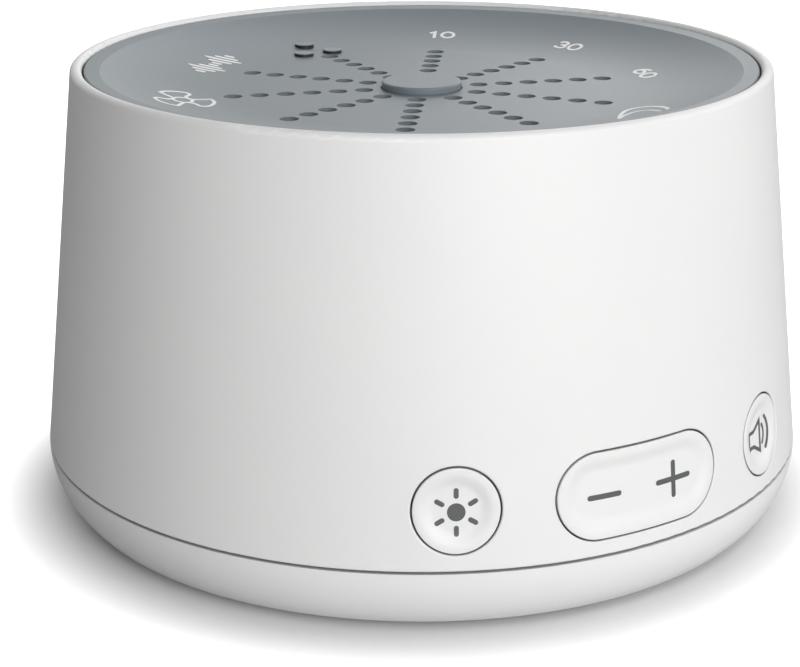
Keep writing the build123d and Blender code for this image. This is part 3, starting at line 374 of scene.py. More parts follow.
# %% [markdown]
# ## Finish every CAD part
# Each CAD part names the finish of its record slot, so the right material is put in its place.

# %% Put the finishes on
slots_seen = set()
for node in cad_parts.values():
    for place in node.material_slots:
        key = place.material.name.split(".")[0] if place.material else ""
        slots_seen.add(key)
        if key in finishes:
            place.material = finishes[key]
print("slots", sorted(slots_seen), "without a finish:", sorted(slots_seen - set(finishes)))

# %% [markdown]
# ## The soft hollow of a key
# A finger finds the keys by the shallow hollow in their faces. In the photo the hollow has no
# hard edge: it sinks over about two millimetres, and that slow bend is what catches the light.
# The mesh is a stack of closed outlines, from the middle of the face over its rounded edge, down
# the side, round the flange and along the stem to the switch. A pill is a circle pulled apart,
# so the same outline serves the round keys and the volume key.

# %% Outlines of the keys
# points round a half circle and along a straight side, rings across the face and over its edge
arc_steps, straight_steps = 40, 28
face_steps, edge_steps = 34, 5
# the hollow sinks between these two distances from the key's edge
hollow_start, hollow_end = 0.45, 2.9
hollow_depth = 0.55
edge_round = 0.16


def outline(straight, radius):
    """Points once round a pill: straight is the distance between its two round ends."""
    points = []
    for side in (1, -1):
        for i in range(arc_steps + 1):
            a = math.pi * (i / arc_steps - 0.5)
            across = straight / 2 + radius * math.cos(a)
            points.append((side * across, side * radius * math.sin(a)))
        if straight:
            for i in range(1, straight_steps):
                across = straight * (0.5 - i / straight_steps)
                points.append((side * across, side * radius))
    return points


def shell_face(u, v):
    """How far out the shell's face is, u across and v above the middle of a key."""
    return math.sqrt(side_radius(key_z + v) ** 2 - u ** 2)


def hollow(inset):
    """Depth of a key's hollow at a distance from the key's edge."""
    t = min(max((inset - hollow_start) / (hollow_end - hollow_start), 0.0), 1.0)
    return hollow_depth * t * t * t * (t * (6 * t - 15) + 10)


print("hollow at 1, 2 and 3 mm:", [round(hollow(s), 3) for s in (1, 2, 3)])

# %% [markdown]
# ## From outlines to a solid
# Every outline has the same number of points, so two neighbours can be joined by a strip of
# four-sided faces, like the hoops of a barrel. Where an outline shrinks to a point or a line, its
# points are merged, and the key comes out closed.

# %% Join outlines to a solid


def solid_from(rings, name, azimuth=0.0):
    """Joins rings of (across, up, out) points, all of one length, into one closed mesh."""
    shape = bmesh.new()
    rows = [[shape.verts.new((u * mm, -out * mm, (key_z + v) * mm)) for u, v, out in ring]
            for ring in rings]
    for low, high in zip(rows, rows[1:]):
        for i in range(len(low)):
            j = (i + 1) % len(low)
            shape.faces.new((low[i], low[j], high[j], high[i]))
    bmesh.ops.remove_doubles(shape, verts=shape.verts, dist=1e-7)
    bmesh.ops.dissolve_degenerate(shape, edges=shape.edges, dist=1e-7)
    turn = Matrix.Rotation(math.radians(azimuth), 3, "Z")
    bmesh.ops.rotate(shape, verts=shape.verts, matrix=turn)
    bmesh.ops.recalc_face_normals(shape, faces=shape.faces)
    return finished(shape, name)


def finished(shape, name):
    """Turns a bmesh into an object at the origin, smooth but for its sharp edges."""
    mesh = bpy.data.meshes.new(name)
    shape.to_mesh(mesh)
    shape.free()
    mesh.shade_smooth()
    mesh.set_sharp_from_angle(angle=math.radians(38))
    obj = bpy.data.objects.new(name, mesh)
    bpy.context.scene.collection.objects.link(obj)
    return obj


print("a round outline has", len(outline(0, 1.0)), "points")

# %% Rings of a key's face


def face_rings(straight, radius):
    """The hollow face and its rounded edge, from the middle outwards."""
    rings = []
    for i in range(face_steps + 1):
        inset = radius - (radius - edge_round) * i / face_steps
        rings.append([(u, v, shell_face(u, v) - hollow(inset))
                      for u, v in outline(straight, radius - inset)])
    for i in range(1, edge_steps + 1):
        a = math.radians(90 * i / edge_steps)
        inset = edge_round * (1 - math.sin(a))
        drop = edge_round * (1 - math.cos(a))
        rings.append([(u, v, shell_face(u, v) - drop)
                      for u, v in outline(straight, radius - inset)])
    return rings


def flat_ring(straight, radius, out):
    return [(u, v, out) for u, v in outline(straight, radius)]


print("a face and its edge have", len(face_rings(0, 1.0)), "rings")

# %% [markdown]
# ## The round keys
# Behind the wall of the shell a round key widens to a flange, so that it can't fall out, and then
# narrows to a stem, whose end rests on the plunger of the switch. Both keys are the same shape,
# turned round the drum to their places.

# %% Round keys
round_radius = 5.5
key_flange = 1.2
key_stop_gap = 0.3
stem_radius = 1.8
switch_front = 10.7
plunger_reach = 2.5
key_back = key_face - shell_wall - key_stop_gap - key_flange
plunger_tip = key_face - switch_front + plunger_reach


def round_key(name, azimuth):
    rings = face_rings(0, round_radius)
    for radius in (round_radius, round_radius + key_flange):
        rings.append([(u, v, shell_face(u, v) - shell_wall - key_stop_gap)
                      for u, v in outline(0, radius)])
    for radius, out in ((round_radius + key_flange, key_back), (stem_radius, key_back),
                        (stem_radius, plunger_tip), (0, plunger_tip)):
        rings.append(flat_ring(0, radius, out))
    return solid_from(rings, name, azimuth)


light_key = round_key("light_key_face", -key_angle)
sound_key = round_key("sound_key_face", key_angle)
print("round keys:", len(light_key.data.polygons), "faces each")

# %% [markdown]
# ## The volume key
# The pill tips about an upright pin behind its middle, with a plus on one end and a minus on the
# other. Its plug carries a hub for the pin and two nibs that push the switches. They are simple
# blocks and rods, joined to the plug by a union, so that the key is one clean closed mesh.

# %% Rods and unions
rod_sides = 24


def rod_along(axis, radius, start, end, place):
    """A closed rod. axis is y or z, place its middle in the two other directions."""
    shape = bmesh.new()
    bmesh.ops.create_cone(shape, cap_ends=True, segments=rod_sides, radius1=radius * mm,
                          radius2=radius * mm, depth=(end - start) * mm)
    turn = Matrix.Rotation(math.pi / 2, 4, "X") if axis == "y" else Matrix.Identity(4)
    middle = (start + end) / 2
    centre = (place[0], middle, place[1]) if axis == "y" else (place[0], place[1], middle)
    move = Matrix.Translation(Vector(centre) * mm) @ turn
    bmesh.ops.transform(shape, verts=shape.verts, matrix=move)
    return finished(shape, "rod")


def joined(main, others):
    """The union of closed meshes, as one mesh in the main object."""
    for other in others:
        union = main.modifiers.new("union", "BOOLEAN")
        union.operation = "UNION"
        union.solver = "EXACT"
        union.object = other
    bpy.context.view_layer.update()
    depsgraph = bpy.context.evaluated_depsgraph_get()
    mesh = bpy.data.meshes.new_from_object(main.evaluated_get(depsgraph))
    main.modifiers.clear()
    main.data = mesh
    for other in others:
        bpy.data.objects.remove(other)
    return main


print("a rod has", rod_sides, "sides")

# %% Volume key
pill_length, pill_height = 24.8, 11.3
pill_straight, pill_radius = pill_length - pill_height, pill_height / 2
carrier_depth, rocker_room = 3.7, 1.9
rocker_back = key_face - shell_wall - carrier_depth + rocker_room
rings = face_rings(pill_straight, pill_radius)
rings.append(flat_ring(pill_straight, pill_radius, rocker_back))
rings.append(flat_ring(pill_straight, 0, rocker_back))
volume_key = solid_from(rings, "volume_key_face")

pivot_radius, pivot_length, pivot_setback = 0.75, 1.6, 4.9
pivot_out = key_face - pivot_setback
hub_width, hub_depth, hub_inwards, hub_trim = 4.4, 2.2, 0.5, 0.01
hub = bmesh.new()
bmesh.ops.create_cube(hub, size=1.0)
for vert in hub.verts:
    vert.co = Vector((hub_width * vert.co.x, -(pivot_out + hub_inwards) + hub_depth * vert.co.y,
                      key_z + 2 * (pill_radius - hub_trim) * vert.co.z)) * mm
pin_half = pill_radius + pivot_length
nib_radius, nib_across, nib_root, nib_gap = 1.5, 6.5, 0.5, 0.1
extras = [finished(hub, "hub"),
          rod_along("z", pivot_radius, key_z - pin_half, key_z + pin_half, (0, -pivot_out))]
extras += [rod_along("y", nib_radius, -(rocker_back + nib_root), -(plunger_tip + nib_gap),
                     (across, key_z)) for across in (-nib_across, nib_across)]
joined(volume_key, extras)
print("volume key:", len(volume_key.data.polygons), "faces")

# %% [markdown]
# ## Keys in place of the plain ones
# The keys of the CAD model have no hollow. The new ones take their places and ride on the same
# bodies, and so do their signs further down, so that a key and its sign move together.

# %% Keys on their bodies
for obj, body in ((light_key, "light_key"), (sound_key, "sound_key"),
                  (volume_key, "volume_rocker")):
    obj.data.materials.clear()
    obj.data.materials.append(finishes["white_abs"])
    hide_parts(body)
    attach(obj, body)
print("keys ride on their bodies")

# %% [markdown]
# ## Signs in ink
# The signs are pad printed: a soft pad presses a film of ink, a few hundredths of a millimetre
# thick, onto the curved plastic. Here every sign is drawn flat out of bands with round ends, is
# given the thickness of the ink, and is then laid on its surface point by point, so it follows
# the hollow of a key or the slope of the dish like real ink.

# %% Two inks
# pad printing ink: thin and opaque, with the same satin as the plastic under it
for shade_name, colour, shade in (("grey", "#606264", "#5A5C5E"), ("white", "#FCFDFD", "#F8FAFA")):
    finishes[shade_name + "_ink"] = moulded("pad_ink_" + shade_name, colour, shade, 0.45, 0.10,
                                            0.0005, 1.50, 2.0)
half_film = 0.025
print("the film of ink is", 2 * half_film, "mm thick")

# %% [markdown]
# ## Paths for a pen
# A sign is a few strokes of one pen. A stroke follows straight lines, the arc of a circle or an
# ellipse, or a free curve that runs smoothly through a handful of points. A font would give clean
# letters, but not these signs, nor digits with such round corners.

# %% Paths


def arc_path(centre, radii, start, end, steps=24):
    """Points on an arc of a circle or ellipse, from one angle to another in degrees."""
    angles = [math.radians(start + (end - start) * i / steps) for i in range(steps + 1)]
    return [(centre[0] + radii[0] * math.cos(a), centre[1] + radii[1] * math.sin(a))
            for a in angles]


def loop_path(centre, radii, steps=40):
    return arc_path(centre, radii, 0, 360, steps)[:-1]


def fine(points, closed=False, step=0.3):
    """The same path with more points on its long straight stretches."""
    ends = list(zip(points, points[1:] + points[:1] if closed else points[1:]))
    path = []
    for (u0, v0), (u1, v1) in ends:
        parts = max(1, math.ceil(math.hypot(u1 - u0, v1 - v0) / step))
        path += [(u0 + (u1 - u0) * i / parts, v0 + (v1 - v0) * i / parts) for i in range(parts)]
    return path if closed else path + [points[-1]]


def smooth(points, steps=8):
    """A closed curve that runs smoothly through the points."""
    path = []
    count = len(points)
    for i in range(count):
        a, b, c, d = (Vector(points[(i + k) % count]) for k in (-1, 0, 1, 2))
        for k in range(steps):
            t = k / steps
            p = b + (c - a) * t / 2 + (2 * a - 5 * b + 4 * c - d) * t * t / 2
            p += (3 * b - a - 3 * c + d) * t ** 3 / 2
            path.append((p.x, p.y))
    return path


def open_smooth(points):
    """The same for an open curve, from its first point to its last."""
    return smooth([points[0]] + points + [points[-1]])[8:8 * len(points)] + [points[-1]]


print("an arc has", len(arc_path((0, 0), (1, 1), 0, 90)), "points")

# %% [markdown]
# ## Bands of ink
# A curve with a round bevel would give a tube, but printed ink is a flat film with upright edges.
# So a path becomes a flat band, as wide as the pen and with round ends, and the band is closed
# into a film, half of it in the plastic and half above it.

# %% Bands and discs


def thicken(shape):
    """Closes a flat drawing into a film of ink, half of it under the surface."""
    flat = list(shape.faces)
    rims = [edge for edge in shape.edges if edge.is_boundary]
    under = {vert: shape.verts.new((vert.co.x, vert.co.y, -half_film))
             for vert in list(shape.verts)}
    for vert in under:
        vert.co.z = half_film
    for face in flat:
        shape.faces.new([under[vert] for vert in reversed(face.verts)])
    for edge in rims:
        a, b = edge.verts
        shape.faces.new((a, b, under[b], under[a]))
    bmesh.ops.recalc_face_normals(shape, faces=shape.faces)


def band(points, width, closed=False):
    """A flat band of ink along a path, with round ends unless it is closed."""
    shape = bmesh.new()
    path = [Vector(p) for p in fine(list(points), closed)]
    count = len(path)
    rows = []
    for i, p in enumerate(path):
        before = (p - path[i - 1]) if closed or i else path[1] - path[0]
        after = (path[(i + 1) % count] - p) if closed or i < count - 1 else before
        before, after = before.normalized(), after.normalized()
        side = Vector((-before.y - after.y, before.x + after.x)).normalized()
        side *= width / 2 / max(side.dot(Vector((-after.y, after.x))), 0.4)
        rows.append([shape.verts.new((p.x + s * side.x, p.y + s * side.y, 0)) for s in (1, -1)])
    for i in range(count if closed else count - 1):
        a, b = rows[i], rows[(i + 1) % count]
        shape.faces.new((a[0], a[1], b[1], b[0]))
    if not closed:
        for end, out in ((0, path[0] - path[1]), (-1, path[-1] - path[-2])):
            heading = math.atan2(out.y, out.x)
            turns = [heading + math.pi * (k / 10 - 0.5) for k in range(1, 10)]
            cap = [shape.verts.new((path[end].x + width / 2 * math.cos(a),
                                    path[end].y + width / 2 * math.sin(a), 0)) for a in turns]
            first, last = rows[end] if end == 0 else rows[end][::-1]
            shape.faces.new([first] + cap + [last])
    thicken(shape)
    return finished(shape, "band")


def disc(radius, segments=48):
    shape = bmesh.new()
    bmesh.ops.create_circle(shape, cap_ends=True, cap_tris=True, radius=radius, segments=segments)
    thicken(shape)
    return finished(shape, "disc")


print("a band of", len(band([(0, 0), (1, 0)], 0.5).data.polygons), "faces")
bpy.data.objects.remove(bpy.data.objects["band"])

# %% [markdown]
# ## Repeats with Geometry Nodes
# The sun has six equal rays, the fan three equal blades and the sound wave a row of bars that
# swells twice. One is drawn, and a small node tree sets out the copies. Its inputs carry names, so
# the count or the spacing can be changed without touching the drawing.

# %% Start, end and use of a tree


def new_tree(name, inputs):
    """A geometry tree with a geometry input and output and the named inputs."""
    tree = bpy.data.node_groups.new(name, "GeometryNodeTree")
    tree.interface.new_socket("Geometry", in_out="INPUT", socket_type="NodeSocketGeometry")
    tree.interface.new_socket("Geometry", in_out="OUTPUT", socket_type="NodeSocketGeometry")
    for label, kind in inputs.items():
        tree.interface.new_socket(label, in_out="INPUT", socket_type=kind)
    return tree, tree.nodes.new("NodeGroupInput").outputs


def close_tree(tree, geometry, material):
    """Every tree ends the same way: real geometry, with its material."""
    real = add(tree, "GeometryNodeRealizeInstances", {0: geometry})
    dressed = add(tree, "GeometryNodeSetMaterial", {"Geometry": real.outputs[0],
                                                    "Material": material})
    add(tree, "NodeGroupOutput", {0: dressed.outputs[0]})


def grown(obj, tree, values):
    """Runs a tree on an object and keeps the result as the object's plain mesh."""
    modifier = obj.modifiers.new(tree.name, "NODES")
    modifier.node_group = tree
    for item in tree.interface.items_tree:
        if item.in_out == "INPUT" and item.name in values:
            modifier[item.identifier] = values[item.name]
    bpy.context.view_layer.update()
    depsgraph = bpy.context.evaluated_depsgraph_get()
    mesh = bpy.data.meshes.new_from_object(obj.evaluated_get(depsgraph))
    obj.modifiers.clear()
    obj.data = mesh
    return obj


print("helpers for trees ready")

# %% [markdown]
# ## A place for every copy
# Such a tree starts from a cloud with as many points as there are copies. A point knows only its
# number, and a few steps of arithmetic turn that number into a place in a row or a direction in a
# round. More than one tree takes these steps, so they are functions.

# %% Numbers, rows and rounds


def numbered_points(tree, count):
    """A cloud of points, and the number of each one."""
    points = add(tree, "GeometryNodePoints", {"Count": count}).outputs[0]
    return points, add(tree, "GeometryNodeInputIndex").outputs[0]


def row_place(tree, number, count, pitch):
    """Where a copy stands in a row whose middle is at zero."""
    last = add(tree, "ShaderNodeMath", {0: count, 1: 1.0}, operation="SUBTRACT")
    middle = add(tree, "ShaderNodeMath", {0: last.outputs[0], 1: -0.5, 2: number},
                 operation="MULTIPLY_ADD")
    place = add(tree, "ShaderNodeMath", {0: middle.outputs[0], 1: pitch}, operation="MULTIPLY")
    return place.outputs[0]


def round_angle(tree, number, count, first):
    """The direction of a copy in a full circle of them."""
    share = add(tree, "ShaderNodeMath", {0: number, 1: count}, operation="DIVIDE")
    angle = add(tree, "ShaderNodeMath", {0: share.outputs[0], 1: 2 * math.pi, 2: first},
                operation="MULTIPLY_ADD")
    return angle.outputs[0]


print("a full circle is", round(2 * math.pi, 3), "radians")

# %% [markdown]
# ## Copies in a round
# A ray of the sun is drawn at its true distance from the middle. So the copies needn't be moved:
# they all stand at the middle and are only turned, each by its share of a circle.

# %% Tree for a round


def turned_copies(material):
    """A tree that sets copies of a drawing round a point."""
    tree, given = new_tree("copies_in_a_round", {"Copies": "NodeSocketInt",
                                                 "First": "NodeSocketFloat"})
    points, number = numbered_points(tree, given["Copies"])
    angle = round_angle(tree, number, given["Copies"], given["First"])
    turn = add(tree, "ShaderNodeCombineXYZ", {2: angle})
    placed = add(tree, "GeometryNodeInstanceOnPoints",
                 {"Points": points, "Instance": given["Geometry"], "Rotation": turn.outputs[0]})
    close_tree(tree, placed.outputs[0], material)
    return tree


round_grey = turned_copies(finishes["grey_ink"])
round_white = turned_copies(finishes["white_ink"])
print("trees:", [tree.name for tree in bpy.data.node_groups])

# %% [markdown]
# ## Bars in waves
# The sign for a sound wave is a row of leaning bars, which grow and shrink as the row goes on. One
# short bar is drawn and stretched to each length.

# %% Tree for a row of bars


def wave_row(material):
    """A tree that sets bars side by side, shorter and longer in waves."""
    tree, given = new_tree("row_of_wave_bars", {
        "Bars": "NodeSocketInt", "Pitch": "NodeSocketFloat", "Waves": "NodeSocketInt",
        "Shortest": "NodeSocketFloat", "Longest": "NodeSocketFloat", "Lean": "NodeSocketFloat"})
    points, number = numbered_points(tree, given["Bars"])
    across = row_place(tree, number, given["Bars"], given["Pitch"])
    place = add(tree, "ShaderNodeCombineXYZ", {0: across})
    moved = add(tree, "GeometryNodeSetPosition", {"Geometry": points, "Offset": place.outputs[0]})
    # the bars swell and shrink once in each wave, as the ping-pong of their place in the wave
    share = add(tree, "ShaderNodeMath", {0: given["Bars"], 1: given["Waves"]}, operation="DIVIDE")
    step = add(tree, "ShaderNodeMath", {0: number, 1: share.outputs[0]}, operation="MODULO")
    most = add(tree, "ShaderNodeMath", {0: share.outputs[0], 1: 1.0}, operation="SUBTRACT")
    along = add(tree, "ShaderNodeMath", {0: step.outputs[0], 1: most.outputs[0]},
                operation="DIVIDE")
    swell = add(tree, "ShaderNodeMath", {0: along.outputs[0], 1: 0.5}, operation="PINGPONG")
    length = add(tree, "ShaderNodeMapRange", {0: swell.outputs[0], 1: 0.0, 2: 0.5,
                                              3: given["Shortest"], 4: given["Longest"]})
    scale = add(tree, "ShaderNodeCombineXYZ", {0: 1.0, 1: length.outputs[0], 2: 1.0})
    turn = add(tree, "ShaderNodeCombineXYZ", {2: given["Lean"]})
    placed = add(tree, "GeometryNodeInstanceOnPoints",
                 {"Points": moved.outputs[0], "Instance": given["Geometry"],
                  "Rotation": turn.outputs[0], "Scale": scale.outputs[0]})
    close_tree(tree, placed.outputs[0], material)
    return tree


row_white = wave_row(finishes["white_ink"])
print("trees:", [tree.name for tree in bpy.data.node_groups])

# %% [markdown]
# ## Laying a sign on its surface
# Each sign becomes one object. Its points move from the flat drawing to the surface: on a key
# they are measured out from the hollow face, on the dish up from the bowl. The tops of the dish's
# signs point outwards. In the photo some are drawn longer along the line of sight, so that they
# read from the front at a low angle, and the third number of on_dish gives that stretch.

# %% Laying and grouping
# the photo's camera looks this way across the table
heading = math.radians(-31.46)
sight = Vector((-math.sin(heading), math.cos(heading)))
# the keys' signs stand a little below their middles
sign_drop = -0.3


def on_key(straight, radius, azimuth, lift=0.0):
    """A way onto the face of a key. The lift is how far above its middle the sign's middle is."""
    turn = Matrix.Rotation(math.radians(azimuth), 3, "Z")

    def place(u, v, t):
        v += lift
        inset = radius - math.hypot(max(abs(u) - straight / 2, 0.0), v)
        return turn @ Vector((u, -(shell_face(u, v) - hollow(inset) + t), key_z + v))
    return place


def on_dish(azimuth, radius, stretch=1.0):
    """A way onto the dish, at an azimuth and a distance from its middle."""
    a = math.radians(azimuth)
    outwards = Vector((math.sin(a), -math.cos(a)))
    rightwards = Vector((-math.cos(a), -math.sin(a)))

    def place(u, v, t):
        step = rightwards * u + outwards * v
        step += sight * step.dot(sight) * (stretch - 1.0)
        spot = outwards * radius + step
        return Vector((spot.x, spot.y, bowl_z(spot.length) + t))
    return place


def printed(name, pieces, place, body, finish, union=False):
    """Joins the pieces of a sign, lays them on the surface and lets them ride on a body."""
    main, others = pieces[0], pieces[1:]
    if union and others:
        joined(main, others)
    elif others:
        shape = bmesh.new()
        for piece in pieces:
            shape.from_mesh(piece.data)
        shape.to_mesh(main.data)
        shape.free()
        for piece in others:
            bpy.data.objects.remove(piece)
    for vert in main.data.vertices:
        vert.co = place(*vert.co) * mm
    main.name = name
    main.data.materials.clear()
    main.data.materials.append(finishes[finish])
    for face in main.data.polygons:
        face.material_index = 0
    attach(main, body)
    return main


print("line of sight across the floor:", [round(c, 3) for c in sight])

# %% [markdown]
# ## Signs on the keys
# The left key switches the light and bears a sun, and the right one bears a loudspeaker. The ends
# of the volume key bear a minus and a plus. The strokes of the plus cross, so they are joined by a
# union, which leaves no faces inside the ink.

# %% Signs on the keys
ray = band([(0, 2.04), (0, 2.78)], 0.62)
sun = [disc(1.15), grown(ray, round_grey, {"Copies": 6, "First": 0.0})]
printed("sun_sign", sun, on_key(0, round_radius, -key_angle, sign_drop), "light_key", "grey_ink")

waves_from = (-0.4, 0)
speaker = [band([(-3.1, -1.05), (-3.1, 1.05), (-1.7, 1.05), (0.3, 2.15), (0.3, -2.15),
                 (-1.7, -1.05)], 0.5, closed=True),
           band(arc_path(waves_from, (2.0, 1.9), -42, 42), 0.5),
           band(arc_path(waves_from, (3.5, 3.1), -45, 45), 0.5)]
printed("speaker_sign", speaker, on_key(0, round_radius, key_angle, sign_drop), "sound_key",
        "grey_ink")

on_pill = on_key(pill_straight, pill_radius, 0, sign_drop)
minus_at, plus_at = -5.65, 5.2
printed("minus_sign", [band([(minus_at - 2.1, 0), (minus_at + 2.1, 0)], 0.7)], on_pill,
        "volume_rocker", "grey_ink")
plus = [band([(plus_at - 2.6, 0), (plus_at + 2.6, 0)], 0.7),
        band([(plus_at, -2.15), (plus_at, 2.15)], 0.7)]
printed("plus_sign", plus, on_pill, "volume_rocker", "grey_ink", union=True)
print("key signs printed")

# %% [markdown]
# ## Digits of the timer
# White signs stand round the dish, about 40 degrees apart. Three of them are the minutes of the
# timer. Their digits are loops and arcs nearly three millimetres high, drawn with one pen.

# %% Digits on the dish
pen = 0.52


def shifted(points, across, up=0.0):
    return [(u + across, v + up) for u, v in points]


def zero(across):
    return [band(shifted(loop_path((0, 0), (0.96, 1.12)), across), pen, closed=True)]


def one(across):
    return [band(shifted([(-0.62, 0.72), (0, 1.12), (0, -1.12)], across), pen)]


def three(across):
    return [band(shifted(arc_path((0, 0.56), (0.72, 0.56), 150, -90), across), pen),
            band(shifted(arc_path((0, -0.52), (0.86, 0.6), 90, -150), across), pen)]


def six(across):
    return [band(shifted(loop_path((0, -0.4), (0.9, 0.72)), across), pen, closed=True),
            band(shifted(arc_path((0.75, -0.4), (1.65, 1.52), 98, 180), across), pen)]


printed("minutes_10", one(-1.25) + zero(0.85), on_dish(143.3, 36.2, 1.0), "housing", "white_ink")
printed("minutes_30", three(-1.3) + zero(1.15), on_dish(108.6, 35.5, 1.1), "housing", "white_ink",
        union=True)
printed("minutes_60", six(-1.3) + zero(1.15), on_dish(71.7, 33.4, 1.2), "housing", "white_ink",
        union=True)
print("minutes printed")

# %% [markdown]
# ## Signs for the sounds
# The other signs stand for the sounds. Their outlines are read from the photo, apart from the
# rain and the heart, which are a guess: the rim hides these two places.

# %% Moon, fan, wave, rain and heart
# the moon's two lines meet in a point at one end and stay open at the other
moon_outside = [(-1.8, 5.2), (-3.4, 4.15), (-4.9, 2.5), (-5.65, 0.8), (-5.45, -0.6), (-4.4, -1.5),
                (-2.6, -1.65), (-0.3, -0.9), (1.8, 0.1), (3.4, 1.0)]
moon_inside = [(3.4, 1.0), (1.3, 0.35), (-0.9, 0.05), (-2.4, 0.45), (-2.9, 1.6), (-2.1, 3.1),
               (-0.9, 4.6)]
moon = [band(open_smooth(moon_outside), 0.56), band(open_smooth(moon_inside), 0.5)]
printed("moon_sign", moon, on_dish(22.0, 33.6), "housing", "white_ink", union=True)

# a blade is narrow at the hub and wide outside, with one straight edge that ends in a corner
blade = open_smooth([(0.85, 1.05), (0.95, 2.0), (1.65, 2.85), (1.45, 3.7), (0.2, 4.2), (-1.4, 4.0),
                     (-2.4, 3.2)]) + [(-1.05, 0.85)]
blades = grown(band(blade, 0.52), round_white, {"Copies": 3, "First": 0.58})
hub_ring = band(loop_path((0, 0), (1.32, 1.32)), 0.5, closed=True)
printed("fan_sign", [hub_ring, blades], on_dish(258.1, 34.5, 1.4), "housing", "white_ink",
        union=True)

bar = band([(0, -0.5), (0, 0.5)], 0.5)
wave = grown(bar, row_white, {"Bars": 10, "Pitch": 0.88, "Waves": 2, "Shortest": 1.07,
                              "Longest": 3.87, "Lean": math.radians(15)})
printed("wave_sign", [wave], on_dish(213.7, 33.8, 1.4), "housing", "white_ink")

# a drop is a circle and the two lines that touch it from its tip
drop = arc_path((0, -0.55), (1.2, 1.2), 154, 386, 32) + [(0, 2.2)]
printed("rain_sign", [band(shifted(drop, across, up), pen, closed=True)
                      for across, up in ((-1.9, -0.4), (1.9, 0.4))],
        on_dish(303.3, 33.6), "housing", "white_ink")
heart = smooth([(0, -2.2), (-2.0, -0.2), (-2.3, 1.2), (-1.2, 1.9), (0, 1.0), (1.2, 1.9),
                (2.3, 1.2), (2.0, -0.2)])
printed("heart_sign", [band(heart, pen, closed=True)], on_dish(343.3, 33.6), "housing",
        "white_ink")
print("dish signs printed")

# %% [markdown]
# ## Legs on the chips
# A chip is a block of epoxy round a stamped frame of tinned copper, whose ends come out at the
# sides and are bent down onto the board like the wings of a gull. One leg is drawn, and a node
# tree sets the rows along two or four sides. The processor has legs all round, the memory, the
# amplifier and the charging chip have them on two sides.

# %% Draw one leg
# tinned copper: bright, with faint clouds where the tin flowed
finishes["tinned_copper"] = metal("copper_stamped_tinned", "#D6D7D4", "#BFC1BF", 0.30, 0.07, 0.4)


def leg(width, sheet):
    """A strip bent twice. It leaves the chip outwards, along y, and lies on the board, z = 0."""
    bends = [(-0.10, 0.60), (0.28, 0.60), (0.36, 0.55), (0.52, 0.14), (0.60, 0.10), (1.05, 0.10)]
    shape = bmesh.new()
    rings = []
    for i, (y, z) in enumerate(bends):
        before, after = bends[max(i - 1, 0)], bends[min(i + 1, len(bends) - 1)]
        along = Vector((after[0] - before[0], after[1] - before[1])).normalized()
        up = Vector((-along.y, along.x)) * sheet / 2
        rings.append([shape.verts.new(Vector((x * width / 2, y + s * up.x, z + s * up.y)) * mm)
                      for x, s in ((-1, -1), (1, -1), (1, 1), (-1, 1))])
    for a, b in zip(rings, rings[1:]):
        for k in range(4):
            shape.faces.new((a[k], a[(k + 1) % 4], b[(k + 1) % 4], b[k]))
    shape.faces.new(rings[0][::-1])
    shape.faces.new(rings[-1])
    bmesh.ops.recalc_face_normals(shape, faces=shape.faces)
    return finished(shape, "leg")


print("the legs are", finishes["tinned_copper"].name)

# %% [markdown]
# ## Rows of legs
# The tree counts round the sides of the chip and then along its rows. Each leg is moved out to the
# edge of the chip and turned to its side, so that one drawing serves all of them.

# %% Tree for the legs


def leg_rows(material):
    """A tree that sets rows of legs along the sides of a square chip."""
    tree, given = new_tree("rows_of_legs", {
        "Legs": "NodeSocketInt", "Sides": "NodeSocketInt", "Pitch": "NodeSocketFloat",
        "Reach": "NodeSocketFloat", "First": "NodeSocketFloat", "Place": "NodeSocketVector"})
    total = add(tree, "ShaderNodeMath", {0: given["Legs"], 1: given["Sides"]}, operation="MULTIPLY")
    points, number = numbered_points(tree, total.outputs[0])
    side = add(tree, "ShaderNodeMath", {0: number, 1: given["Sides"]}, operation="MODULO")
    share = add(tree, "ShaderNodeMath", {0: number, 1: given["Sides"]}, operation="DIVIDE")
    row = add(tree, "ShaderNodeMath", {0: share.outputs[0]}, operation="FLOOR")
    across = row_place(tree, row.outputs[0], given["Legs"], given["Pitch"])
    angle = round_angle(tree, side.outputs[0], given["Sides"], given["First"])
    spot = add(tree, "ShaderNodeCombineXYZ", {0: across, 1: given["Reach"]})
    turned = add(tree, "ShaderNodeVectorRotate", {"Vector": spot.outputs[0], "Angle": angle},
                 rotation_type="Z_AXIS")
    moved = add(tree, "GeometryNodeSetPosition", {"Geometry": points,
                                                  "Offset": turned.outputs[0]})
    turn = add(tree, "ShaderNodeCombineXYZ", {2: angle})
    placed = add(tree, "GeometryNodeInstanceOnPoints",
                 {"Points": moved.outputs[0], "Instance": given["Geometry"],
                  "Rotation": turn.outputs[0]})
    carried = add(tree, "GeometryNodeTransform", {"Geometry": placed.outputs[0],
                                                  "Translation": given["Place"]})
    close_tree(tree, carried.outputs[0], material)
    return tree


leg_sheet = 0.18
rows = leg_rows(finishes["tinned_copper"])
for chip, legs, sides, pitch, width in (
        ("processor_chip", 12, 4, 0.75, 0.32), ("sound_memory_chip", 4, 2, 1.27, 0.42),
        ("amplifier_chip", 4, 2, 1.27, 0.42), ("charging_chip", 5, 2, 0.65, 0.30)):
    low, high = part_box(chip)
    place = ((low[0] + high[0]) / 2, (low[1] + high[1]) / 2, low[2])
    pins = grown(leg(width, leg_sheet), rows, {
        "Legs": legs, "Sides": sides, "Pitch": pitch * mm, "Reach": (high[0] - low[0]) / 2,
        "First": math.pi / 2, "Place": place})
    pins.name = chip + "_legs"
    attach(pins, "housing")
    print(chip, "has", legs * sides, "legs,", len(pins.data.polygons), "faces")

